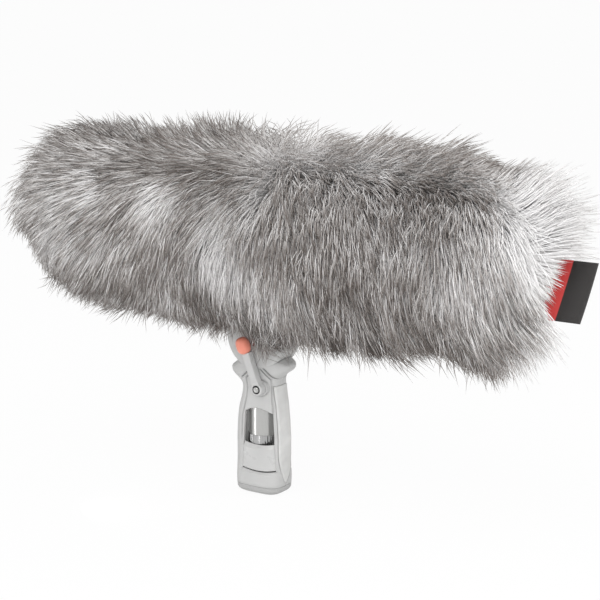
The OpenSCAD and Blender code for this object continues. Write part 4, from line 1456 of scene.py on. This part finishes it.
    def outward(self, points: np.ndarray) -> np.ndarray:
        """Give the direction away from the axis, square to the outline.

        Args:
            points: Points on the outline.

        Returns:
            One level direction per point.
        """
        x, y, z = points[..., 0], points[..., 1], points[..., 2]
        wide = np.where(x < 0.0, self.half_width(z, True), self.half_width(z, False))
        high = self.half_thick(z)
        power = self.squareness(z) - 1.0
        lean_x = np.sign(x) * np.clip(np.abs(x) / wide, 0.0, 1.0) ** power / wide
        lean_y = np.sign(y) * np.clip(np.abs(y) / high, 0.0, 1.0) ** power / high
        return unit(np.stack([lean_x, lean_y, np.zeros_like(x)], axis=-1))


@dataclass
class SideOpening:
    """Window and plate in the side of the grip, in millimetres."""

    middle: float = 3.5
    foot: float = 30.0
    head: float = 24.5
    low: float = 19.5
    plate_top: float = 41.0
    high: float = 67.0
    rise: float = 4.0
    sag: float = 1.4
    cut: tuple[float, float] = (6.0, 24.0)

    def half(self, z: np.ndarray) -> np.ndarray:
        """Give half the opening's width at a height."""
        share = np.clip((z - self.low) / (self.high - self.low), 0.0, 1.0)
        return (self.foot + (self.head - self.foot) * share) / 2.0

    def outside(self, x: np.ndarray, z: np.ndarray) -> np.ndarray:
        """Give about how far a place on the side lies outside the opening.

        Args:
            x: Places from front to back.
            z: Their heights.

        Returns:
            One distance per place, negative inside.
        """
        share = np.clip((x - self.middle) / self.half(z), -1.0, 1.0)
        bow = 1.0 - share ** 2
        aside = np.abs(x - self.middle) - self.half(z)
        return np.maximum(aside, np.maximum(self.low - self.sag * bow - z, z - self.high - self.rise * bow))

    def cutter(self, side: float) -> bpy.types.Object:
        """Make the solid that cuts the opening.

        Args:
            side: -1 for the near half, 1 for the far half.

        Returns:
            The solid.
        """
        share = np.linspace(-1.0, 1.0, 41)
        bow = 1.0 - share ** 2
        x = np.concatenate([self.foot / 2.0 * share, -self.head / 2.0 * share]) + self.middle
        z = np.concatenate([self.low - self.sag * bow, self.high + self.rise * bow])
        faces = [np.stack([x, np.full(len(x), side * y), z], axis=1) for y in self.cut]
        return loft("opening", np.stack(faces))


@dataclass
class PistolGrip:
    """Hand grip: two shells with a raised panel, back strap, side plates and base."""

    finishes: dict[str, bpy.types.Material]
    form: GripForm
    opening: SideOpening
    tilt_z: float = 128.0
    head_r: float = 27.0
    head_half: float = 14.0
    cheek_in: float = 9.2
    drum_r: float = 20.6
    lever_at: tuple[float, float] = (7.0, 88.0)
    cam_room: float = 6.8
    cam_half: float = 5.1
    shoe_half: float = 5.3
    shoe_room: float = 22.0
    boss_r: float = 6.2
    boss_y: tuple[float, float] = (-15.2, -9.0)
    shaft_r: float = 3.6
    bolt_r: float = 4.1
    nut_r: float = 7.2
    nut_seat: float = 10.9
    screw_r: float = 3.2
    screw_seat: float = 8.7
    socket_r: float = 7.05
    wall: float = 3.0
    cavity_top: float = 78.2
    base_top: float = 6.0
    base_gap: float = 0.12
    strap_half: float = 9.0
    strap_low: float = 8.0
    strap_high: float = 89.0
    tongue: float = 26.0
    strap_proud: float = 0.45
    panel_depth: float = 0.55
    apex: tuple[float, float] = (3.8, 104.6)
    band: float = 3.6
    left_edge: tuple[tuple[float, float], ...] = (
        (20.0, -13.0), (42.0, -12.8), (64.0, -11.6), (72.0, -9.4), (79.0, -7.6), (86.0, -6.9), (95.0, -8.2))
    right_edge: tuple[tuple[float, float], ...] = (
        (20.0, 18.3), (45.0, 18.2), (68.0, 17.0), (75.0, 16.2), (95.0, 14.4))
    panel_low: float = 17.0
    groove_half: float = 0.75
    groove_depth: float = 1.0
    chevron_depth: float = 1.1
    plate_gap: float = 1.3
    plate_sunk: float = 0.4
    plate_lip: float = 2.4
    plate_rim: float = 0.7
    plate_thick: float = 3.0
    screws: tuple[tuple[float, float], ...] = ((-15.3, 12.5), (15.3, 12.5), (-9.0, 83.5))

    def strap_edge(self, z: np.ndarray) -> np.ndarray:
        """Give half the back strap's width at each height."""
        share = np.clip((z - self.strap_low) / self.tongue, 0.0, 1.0)
        return self.strap_half * (1.0 - (1.0 - share) ** 2) ** 0.8

    def chevron(self, x: np.ndarray, lift: float) -> np.ndarray:
        """Give the height of the chevron over the panel, or of a line above it."""
        off = x - self.apex[0]
        return self.apex[1] + lift - np.where(off < 0.0, -0.85 * off, 0.76 * off + 0.014 * off ** 2)

    def relief(self, points: np.ndarray) -> np.ndarray:
        """Work out how far the shell's skin is raised or sunk.

        Args:
            points: Points on the outer form in millimetres.

        Returns:
            Height in millimetres, negative inwards.
        """
        x, y, z = points[..., 0], np.abs(points[..., 1]), points[..., 2]
        left = np.interp(z, *zip(*self.left_edge))
        right = np.interp(z, *zip(*self.right_edge))
        upper = np.minimum(self.chevron(x, 0.0) - z, z - self.panel_low)
        inside = np.minimum(np.minimum(x - left, right - x), upper)
        high = -self.panel_depth * smooth(inside, -0.35, 0.45)
        high -= self.groove_depth * np.exp(-(inside / self.groove_half) ** 2) * smooth(z, 40.0, 48.0)
        line = self.chevron(x, self.band) - z
        reach = smooth(x, -14.0, -12.0) * smooth(-x, -18.5, -16.5)
        high -= self.chevron_depth * np.exp(-(line / self.groove_half) ** 2) * reach
        low = smooth(-z, -self.opening.low - 0.5, -self.opening.low + 0.5)
        edge = np.clip(self.opening.outside(x, z) / (1.5 + 1.1 * low), 0.0, 1.0)
        high -= (0.9 + 0.6 * low) * (1.0 - edge) ** 2
        strap = np.minimum(self.strap_edge(z) + 0.25 - y, np.minimum(z - self.strap_low, self.strap_high - z))
        back = smooth(x, 4.0, 6.0)
        high = high * (1.0 - back * smooth(strap, -0.6, 0.0)) - 1.1 * back * smooth(strap, -0.15, 0.15)
        seam = np.clip(1.0 - y / 0.5, 0.0, 1.0)
        return high - 0.3 * seam ** 2

    def shell(self, name: str, side: float, node: str) -> bpy.types.Object:
        """Make one half of the grip.

        Args:
            name: Name of the piece.
            side: -1 for the near half, 1 for the far half.
            node: CAD node that it stands for.

        Returns:
            The half shell.
        """
        form = self.form
        lower = np.linspace(self.base_top + self.base_gap, 60.0, 130)
        heights = np.concatenate([lower, np.linspace(60.0, 112.0, 200)[1:]])
        rings = form.rings(heights, 230, 180.0, 360.0)
        rings += form.outward(rings) * self.relief(rings)[..., None]
        rings[..., 1] = np.minimum(rings[..., 1], -0.05) * -side
        piece = loft(name, rings)
        extra = [self.head(side)]
        if side < 0.0:
            extra.append(rod(self.lever_at, *self.boss_y, self.boss_r))
        carve(piece, extra, "UNION")
        carve(piece, self.cuts(side))
        self.hang(piece, node, Slot.GRIP_SHELL)
        return piece

    def cuts(self, side: float) -> list[bpy.types.Object]:
        """Make the solids that are cut from one half of the grip.

        Args:
            side: -1 for the near half, 1 for the far half.

        Returns:
            The cavity, the window, the head's fork, the rooms of the lock and the seats of the fasteners.
        """
        levels = np.linspace(self.base_top - 2.0, self.cavity_top, 60)
        axis, deep = (0.0, self.tilt_z), self.cam_half
        lean = -math.atan2(self.lever_at[0], self.tilt_z - self.lever_at[1])
        made = [
            loft("cavity", self.form.rings(levels, 161, inset=self.wall)[:, :-1]),
            self.opening.cutter(side),
            rod(axis, -self.cheek_in, self.cheek_in, self.drum_r),
            block((-30.0, -self.cheek_in, self.tilt_z - 4.0), (30.0, self.cheek_in, self.tilt_z + 40.0)),
            rod(self.lever_at, -deep, deep, self.cam_room),
            block((-self.shoe_half, -deep, 0.0), (self.shoe_half, deep, self.shoe_room), lean, self.lever_at),
            rod(axis, -40.0, 40.0, self.bolt_r),
            rod(axis, side * self.nut_seat, side * 20.0, self.nut_r),
        ]
        if side < 0.0:
            made.append(rod(self.lever_at, -20.0, 1.0, self.shaft_r))
        else:
            made.append(rod(self.lever_at, -1.0, 10.0, self.shaft_r))
            made += [rod(place, self.screw_seat, 25.0, self.screw_r) for place in self.screws]
        return made

    def head(self, side: float) -> bpy.types.Object:
        """Make one cheek of the tilting head, with a rounded rim.

        Args:
            side: -1 for the near cheek, 1 for the far one.

        Returns:
            The cheek.
        """
        turn = np.radians(np.linspace(0.0, 90.0, 10))
        fillet = 3.4
        radius = np.concatenate([[6.0, 16.0], self.head_r - fillet + fillet * np.sin(turn), [self.head_r]])
        deep = np.concatenate([[0.0, 0.0], fillet * (1.0 - np.cos(turn)), [self.head_half]])
        around = circle(160)
        rings = []
        for size, sunk in zip(radius, deep):
            face = np.full(len(around), side * (self.head_half - sunk))
            rings.append(np.stack([size * np.cos(around), face, self.tilt_z + size * np.sin(around)], axis=1))
        return loft("cheek", np.array(rings))

    def strap(self) -> bpy.types.Object:
        """Make the soft back strap, which stands a little proud of the shells.

        Returns:
            The strap.
        """
        tip = np.linspace(0.0, 0.3, 50) ** 1.5 / 0.3 ** 0.5
        share = np.concatenate([tip, np.linspace(0.3, 1.0, 110)[1:]])
        z = self.strap_low + 0.2 + (self.strap_high - self.strap_low - 0.4) * share
        across = np.sin(np.linspace(-math.pi / 2.0, math.pi / 2.0, 61))
        y = np.outer(np.maximum(self.strap_edge(z) - 0.1, 0.3), across)
        level = np.repeat(z[:, None], len(across), axis=1)
        skin = np.stack([self.form.reach(y, level), y, level], axis=2)
        away = self.form.outward(skin)
        ends = np.minimum(level - self.strap_low, self.strap_high - level)
        edge = np.minimum(self.strap_edge(level) - np.abs(y), ends)
        proud = self.strap_proud - 0.75 * (1.0 - np.clip(edge / 1.6, 0.0, 1.0)) ** 2
        piece = slab("back_strap", skin + away * proud[..., None], skin - away * 1.0)
        self.hang(piece, "grip_back_strap", Slot.GRIP_RUBBER)
        return piece

    def plate(self, name: str, side: float, node: str) -> bpy.types.Object:
        """Make the bare plate under a window, with a lip that curls in to the tube.

        Args:
            name: Name of the piece.
            side: -1 for the near plate, 1 for the far one.
            node: CAD node that it stands for.

        Returns:
            The plate.
        """
        window = self.opening
        across, up = np.linspace(-1.0, 1.0, 121), np.linspace(0.0, 1.0, 101)
        bow = (1.0 - across ** 2)[None, :] * window.sag
        low = window.low + self.plate_gap
        z = low + (window.plate_top + 0.8 - low) * up[:, None] - bow
        x = window.middle + (window.half(z) - 0.1) * across[None, :]
        lip = np.clip((up[:, None] - 0.85) / 0.15, 0.0, 1.0)
        rim = np.minimum((1.0 - np.abs(across))[None, :] * 13.0, up[:, None] * 21.0)
        sunk = self.plate_sunk + self.plate_lip * lip
        sunk = sunk + self.plate_rim * (1.0 - np.clip(rim, 0.0, 1.0)) ** 2
        skin = np.stack([x, -self.form.depth(x, z), z], axis=2)
        away = self.form.outward(skin)
        outer, inner = skin - away * sunk[..., None], skin - away * self.plate_thick
        for points in (outer, inner):
            points[..., 0] = x
            points[..., 1] *= -side
        piece = slab(name, outer, inner)
        piece.data.set_sharp_from_angle(angle=math.radians(40.0))
        self.hang(piece, node, Slot.PLATE)
        return piece

    def base(self) -> bpy.types.Object:
        """Make the base with its rounded foot, plug and socket bore.

        Returns:
            The base.
        """
        form = self.form
        upper = np.linspace(2.0, self.base_top - self.base_gap, 8)
        heights = np.concatenate([np.linspace(0.0, 2.0, 14), upper[1:]])
        piece = loft("base_block", form.rings(heights, 321)[:, :-1])
        plug = loft("plug", form.rings(np.array([2.0, 9.0]), 161, inset=self.wall + 0.2)[:, :-1])
        carve(piece, [plug], "UNION")
        bore = rod((0.0, 0.0), -1.0, 12.0, self.socket_r)
        bore.matrix_world = Matrix.Rotation(math.radians(90.0), 4, "X")
        carve(piece, [bore])
        self.hang(piece, "base_cap", Slot.GRIP_SHELL)
        return piece

    def hang(self, piece: bpy.types.Object, node: str, slot: Slot) -> None:
        """Hang a piece on the grip."""
        hang(piece, self.finishes[slot.value], slot, Body.GRIP, node)

    def build(self) -> None:
        """Make every piece of the grip."""
        self.shell("shell_near", -1.0, "grip_near_shell")
        self.shell("shell_far", 1.0, "grip_far_shell")
        self.strap()
        self.plate("plate_near", -1.0, "near_plate")
        self.plate("plate_far", 1.0, "far_plate")
        self.base()


@dataclass
class TiltLock:
    """Lever that locks the tilt: arm, knob and pivot rivet, in millimetres."""

    finishes: dict[str, bpy.types.Material]
    pivot: tuple[float, float] = (7.0, 88.0)
    lean: float = 21.0
    arm_length: float = 29.6
    arm_half: float = 3.3
    hub: float = 4.9
    inner: float = 15.7
    outer: float = 21.4
    knob_deep: float = 20.0
    knob_radius: float = 5.7
    knob_length: float = 13.8
    rivet: float = 2.5

    def stand(self, across: np.ndarray, deep: np.ndarray, along: np.ndarray) -> np.ndarray:
        """Put places in the lever's own frame where the lever leans.

        Args:
            across: Way across the lever.
            deep: Place along Y.
            along: Way from the pivot to the knob.

        Returns:
            Points in the object's frame.
        """
        turn = math.radians(self.lean)
        x = self.pivot[0] + across * math.cos(turn) - along * math.sin(turn)
        z = self.pivot[1] + across * math.sin(turn) + along * math.cos(turn)
        return np.stack([x, deep, z], axis=-1)

    def arm(self) -> bpy.types.Object:
        """Make the arm: a thick bar with a round foot and softened edges.

        Returns:
            The arm.
        """
        turn = np.linspace(math.pi * 0.78, math.pi * 2.22, 60)
        along = np.concatenate([np.linspace(self.arm_length, 7.0, 24), self.hub * np.sin(turn),
                                np.linspace(7.0, self.arm_length, 24)])
        sides = self.arm_half + 0.25 * np.linspace(1.0, 0.0, 24) ** 2
        across = np.concatenate([-sides, self.hub * np.cos(turn), sides[::-1]])
        soft = 0.9
        bend = np.linspace(0.0, 1.0, 7) * math.pi / 2.0
        levels = list(zip(self.outer - soft * (1.0 - np.cos(bend)), soft * (1.0 - np.sin(bend))))
        levels.append((self.inner, 0.0))
        made = []
        for deep, inset in levels:
            u = across - np.sign(across) * np.minimum(inset, np.abs(across))
            v = np.where(along < 0.0, along + inset * np.clip(-along / self.hub, 0.0, 1.0), along)
            made.append(self.stand(u, np.full(len(u), -deep), v))
        piece = loft("lever_arm", np.array(made))
        piece.data.set_sharp_from_angle(angle=math.radians(50.0))
        self.hang(piece, "lock_lever", Slot.LEVER)
        return piece

    def turned(self, name: str, profile: np.ndarray, axis_deep: bool, start: float, node: str,
               slot: Slot) -> None:
        """Turn a profile into a round piece.

        Args:
            name: Name of the piece.
            profile: Radius and way along the axis of each ring.
            axis_deep: Whether the axis points out of the side, or along the lever.
            start: Place of the profile's start on the axis.
            node: CAD node that it stands for.
            slot: Its finish.
        """
        turn = circle(72)
        rings = []
        for radius, way in profile:
            a, b = radius * np.cos(turn), radius * np.sin(turn)
            if axis_deep:
                rings.append(self.stand(a, np.full(len(turn), -start - way), b))
            else:
                rings.append(self.stand(a, -self.knob_deep + b, np.full(len(turn), start + way)))
        piece = loft(name, np.array(rings))
        self.hang(piece, node, slot)

    def hang(self, piece: bpy.types.Object, node: str, slot: Slot) -> None:
        """Hang a piece on the lever."""
        hang(piece, self.finishes[slot.value], slot, Body.LEVER, node)

    def build(self) -> None:
        """Make every piece of the lever."""
        self.arm()
        turn = np.radians(np.linspace(4.0, 176.0, 33))
        size = np.abs(np.sin(turn)) ** 0.8 * self.knob_radius
        way = self.knob_length / 2.0 * (1.0 - np.sign(np.cos(turn)) * np.abs(np.cos(turn)) ** 0.8)
        start = self.arm_length - 0.2
        self.turned("knob", np.stack([size, way], axis=1), False, start, "lever_knob", Slot.KNOB)
        dome = np.radians(np.linspace(0.0, 84.0, 14))
        radius = np.concatenate([[self.rivet], self.rivet * np.cos(dome)])
        high = np.concatenate([[-4.0], 0.1 + 1.1 * np.sin(dome)])
        self.turned("rivet", np.stack([radius, high], axis=1), True, self.outer, "lever_screw", Slot.CHROME)


@dataclass(frozen=True)
class WovenLabel:
    """Satin-woven label cloth, red at the seam and near black at the outer end."""

    name: str
    border: float
    seam: Colour = (0.86, 0.075, 0.07)
    outer: Colour = (0.030, 0.028, 0.027)
    thread: float = 0.00045

    def build(self) -> bpy.types.Material:
        """Make the material.

        Returns:
            The material.
        """
        graph = Graph(self.name)
        place = graph.split(graph.place())["X"]
        side = graph.span(place, self.border - 0.0003, self.border + 0.0003)
        cloth = graph.mix(side, self.seam, self.outer)
        lines = graph.threads("X", self.thread, 0.4)
        shine = graph.span(lines, 0.0, 1.0, 0.82, 1.08)
        tint = graph.node("ShaderNodeVectorMath", operation="SCALE")
        graph.link(cloth, tint.inputs[0])
        graph.link(shine, tint.inputs["Scale"])
        graph.colour(tint.outputs["Vector"])
        graph.settings(Roughness=0.6, Sheen_Weight=0.15)
        graph.bump(lines, self.thread * 0.3, 0.5)
        return graph.material


@dataclass
class SewnLabel:
    """Bare two-colour label that is sewn into the rear seam, in millimetres."""

    start: float = 196.0
    length: float = 61.0
    width: float = 50.0
    thick: float = 0.8
    middle_y: float = 41.0
    middle_z: float = 182.5
    lean: float = 52.5
    band: float = 19.5
    curl: float = 1.6

    def build(self) -> bpy.types.Object:
        """Make the label as a thin cloth with folded edges and a slight curl.

        Returns:
            The label.
        """
        out, across = np.meshgrid(np.linspace(0.0, 1.0, 92), np.linspace(-1.0, 1.0, 76), indexing="ij")
        turn = math.radians(self.lean)
        lift = self.curl * (np.sin(out * 2.6) - 0.5) * 0.5 + self.curl * 0.6 * out ** 2 * (across ** 2 - 0.4)
        fold = np.minimum((1.0 - np.abs(across)) * self.width / 2.0, (1.0 - out) * self.length)
        half = self.thick / 2.0 * (0.7 + 0.3 * smooth(-fold, -3.4, -2.8))
        half *= 0.35 + 0.65 * np.clip(fold / 0.5, 0.0, 1.0) ** 0.5
        sides = []
        for face in (1.0, -1.0):
            high = lift + face * half
            way = across * self.width / 2.0
            sides.append(np.stack([self.start + out * self.length,
                                   self.middle_y + way * math.cos(turn) - high * math.sin(turn),
                                   self.middle_z + way * math.sin(turn) + high * math.cos(turn)], axis=2))
        piece = slab("label", *sides)
        border = (self.start + self.length - self.band) * MM
        hang(piece, WovenLabel("label_cloth", border).build(), Slot.LABEL, Body.WINDSHIELD, "label_tag")
        return piece


@dataclass(frozen=True)
class SoftBox:
    """Lamp with a soft face, in metres and watts."""

    name: str
    place: tuple[float, float, float]
    size: tuple[float, float]
    watts: float
    aim: tuple[float, float, float] = (0.0, 0.0, 0.17)
    in_gloss: bool = True

    def build(self) -> None:
        """Stand the lamp in its place and turn it to what it lights."""
        data = bpy.data.lights.new(self.name, "AREA")
        data.shape = "RECTANGLE"
        data.size, data.size_y = self.size
        data.energy = self.watts
        lamp = bpy.data.objects.new(self.name, data)
        lamp.visible_glossy = self.in_gloss
        lamp.location = Vector(self.place)
        lamp.rotation_euler = (Vector(self.aim) - Vector(self.place)).to_track_quat("-Z", "Y").to_euler()
        bpy.context.scene.collection.objects.link(lamp)


@dataclass
class Studio:
    """White sweep, soft lamps and the camera at the photograph's angle."""

    azimuth: float = 33.0
    elevation: float = 12.0
    focal_px: float = 1600.0
    frame_px: float = 600.0
    scale_px: float = 1235.0
    base_px: tuple[float, float] = (264.5, 488.0)
    floor_z: float = -0.002
    floor_size: float = 80.0
    ambient: float = 0.55
    lamps: tuple[SoftBox, ...] = (
        SoftBox("key", (0.15, -0.9, 1.5), (1.4, 1.4), 13.5),
        SoftBox("fill", (0.85, -1.42, 0.42), (1.4, 1.4), 15.0, in_gloss=False),
        SoftBox("side", (1.5, 0.5, 0.9), (1.2, 1.2), 11.5),
        SoftBox("card", (-0.09, -0.12, 0.0235), (0.012, 0.045), 0.016, (0.0, 0.0, 0.0235)),
    )

    def camera(self) -> None:
        """Stand the camera where the grip's base falls on its place in the picture."""
        azimuth, elevation = math.radians(self.azimuth), math.radians(self.elevation)
        level = math.cos(elevation)
        right = Vector((math.cos(azimuth), math.sin(azimuth), 0.0))
        ahead = Vector((-math.sin(azimuth) * level, math.cos(azimuth) * level, -math.sin(elevation)))
        up = right.cross(ahead)
        depth = self.focal_px / self.scale_px
        middle = self.frame_px / 2.0
        shift_x = (self.base_px[0] - middle) / self.focal_px * depth
        shift_y = (middle - self.base_px[1]) / self.focal_px * depth
        data = bpy.data.cameras.new("camera")
        data.sensor_fit = "HORIZONTAL"
        data.sensor_width = 36.0
        data.lens = data.sensor_width * self.focal_px / self.frame_px
        data.clip_end = 100.0
        eye = bpy.data.objects.new("camera", data)
        turn = Matrix((right, up, -ahead)).transposed()
        away = ahead * depth + right * shift_x + up * shift_y
        eye.matrix_world = Matrix.Translation(-away) @ turn.to_4x4()
        bpy.context.scene.collection.objects.link(eye)
        bpy.context.scene.camera = eye

    def white_to_eye(self, tree: bpy.types.NodeTree) -> bpy.types.NodeSocket:
        """Tell rays that show the background from rays that light the object.

        Args:
            tree: Node tree of the world or the floor.

        Returns:
            A socket that is 1 for camera, glossy and transmission rays.
        """
        rays = tree.nodes.new("ShaderNodeLightPath")
        total = rays.outputs["Is Camera Ray"]
        for key in ("Is Glossy Ray", "Is Transmission Ray"):
            adder = tree.nodes.new("ShaderNodeMath")
            adder.operation = "MAXIMUM"
            tree.links.new(total, adder.inputs[0])
            tree.links.new(rays.outputs[key], adder.inputs[1])
            total = adder.outputs["Value"]
        return total

    def world(self) -> None:
        """Light the scene evenly, with a white background."""
        world = bpy.data.worlds.new("studio")
        world.use_nodes = True
        tree = world.node_tree
        tree.nodes.clear()
        mixer = tree.nodes.new("ShaderNodeMixShader")
        tree.links.new(self.white_to_eye(tree), mixer.inputs["Fac"])
        for strength, socket in ((self.ambient, mixer.inputs[1]), (1.0, mixer.inputs[2])):
            light = tree.nodes.new("ShaderNodeBackground")
            light.inputs["Color"].default_value = (1.0, 1.0, 1.0, 1.0)
            light.inputs["Strength"].default_value = strength
            tree.links.new(light.outputs["Background"], socket)
        output = tree.nodes.new("ShaderNodeOutputWorld")
        tree.links.new(mixer.outputs["Shader"], output.inputs["Surface"])
        bpy.context.scene.world = world

    def floor(self) -> None:
        """Lay a white floor that keeps a faint shadow."""
        half = self.floor_size / 2.0
        corners = np.array([[-half, -half, self.floor_z], [half, -half, self.floor_z],
                            [half, half, self.floor_z], [-half, half, self.floor_z]])
        floor = make_object("floor", corners, np.array([[0, 1, 2, 3]]))
        graph = Graph("white_floor")
        graph.tree.nodes.remove(graph.shader)
        matt = graph.node("ShaderNodeBsdfDiffuse")
        matt.inputs["Color"].default_value = (0.86, 0.86, 0.86, 1.0)
        glow = graph.node("ShaderNodeEmission")
        glow.inputs["Strength"].default_value = 1.0
        share = graph.math("MULTIPLY", self.white_to_eye(graph.tree), 0.95)
        mixer = graph.node("ShaderNodeMixShader")
        graph.link(share, mixer.inputs["Fac"])
        graph.link(matt.outputs["BSDF"], mixer.inputs[1])
        graph.link(glow.outputs["Emission"], mixer.inputs[2])
        graph.link(mixer.outputs["Shader"], graph.output.inputs["Surface"])
        floor.data.materials.append(graph.material)

    def build(self) -> None:
        """Set up the whole studio."""
        bpy.context.scene.view_settings.view_transform = "Standard"
        self.world()
        self.floor()
        for lamp in self.lamps:
            lamp.build()
        self.camera()


@dataclass
class CarriedNodes:
    """Procedural finishes for the CAD nodes that keep their own shape."""

    def finishes(self) -> dict[str, bpy.types.Material]:
        """Make one material for each finish of the record.

        Returns:
            Materials by slot name.
        """
        made = {
            # The grip's shell takes painted shade on its foot and in its grooves, and painted light in its
            # hollow.
            "grip_shell": MouldedPlastic("grip_shell", (0.49, 0.49, 0.485), tones=GripPaintedShading()),
            "grip_rubber": SoftRubber("grip_rubber", (0.62, 0.62, 0.61)),
            "chrome": TurnedTube("chrome", (0.46, 0.46, 0.45)),
            "knurl": WorkedMetal("knurl", (0.44, 0.44, 0.44), 0.2),
            "plate": MouldedPlastic("plate", (0.52, 0.52, 0.515), 0.3),
            "brass": WorkedMetal("brass", (0.72, 0.56, 0.28), 0.3),
            "steel": WorkedMetal("steel", (0.55, 0.56, 0.57), 0.3),
            "washer": SoftRubber("washer", (0.10, 0.10, 0.105)),
            "lever": MouldedPlastic("lever", (0.52, 0.52, 0.515)),
            "knob": MouldedPlastic("knob", (0.80, 0.27, 0.19), 0.38),
            "brake": SoftRubber("brake", (0.10, 0.085, 0.075)),
            "knuckle": MouldedPlastic("knuckle", (0.09, 0.09, 0.095)),
            "cage": MouldedPlastic("cage", (0.05, 0.05, 0.053)),
            "mesh": KnittedCloth("mesh", (0.09, 0.09, 0.095)),
            "rail": WorkedMetal("rail", (0.10, 0.10, 0.11), 0.4, (0.04, 1.0, 1.0)),
            "lyre": MouldedPlastic("lyre", (0.06, 0.06, 0.065)),
            "gland": SoftRubber("gland", (0.03, 0.03, 0.032)),
            "fur": KnittedCloth("fur_backing", (0.30, 0.29, 0.285)),
            "binding": KnittedCloth("binding", (0.09, 0.09, 0.095), 0.0008),
            "zip_tape": KnittedCloth("zip_tape", (0.10, 0.10, 0.105), 0.0007),
            "zip_metal": WorkedMetal("zip_metal", (0.40, 0.41, 0.42), 0.3),
            "label": KnittedCloth("label", (0.55, 0.05, 0.045), 0.0005),
        }
        return {slot: finish.build() for slot, finish in made.items()}

    def dress(self) -> dict[str, bpy.types.Material]:
        """Put the finishes on the nodes.

        Returns:
            The finishes by slot name.
        """
        finishes = self.finishes()
        for row in frame["record"]["subparts"]:
            mesh = frame["nodes"][row["node"]].data
            mesh.materials.clear()
            mesh.materials.append(finishes[row["material_slot"]])
            LOG.info("%s: %s", row["node"], row["material_slot"])
        return finishes


def main() -> None:
    """Build every sub-assembly in order."""
    logging.basicConfig(level=logging.INFO, format="%(name)s: %(message)s")
    finishes = CarriedNodes().dress()
    PistolGrip(finishes, GripForm(), SideOpening()).build()
    TiltLock(finishes).build()
    FurJacket(Basket.from_frame()).build()
    SewnLabel().build()
    Studio().build()


if __name__ == "__main__":
    main()
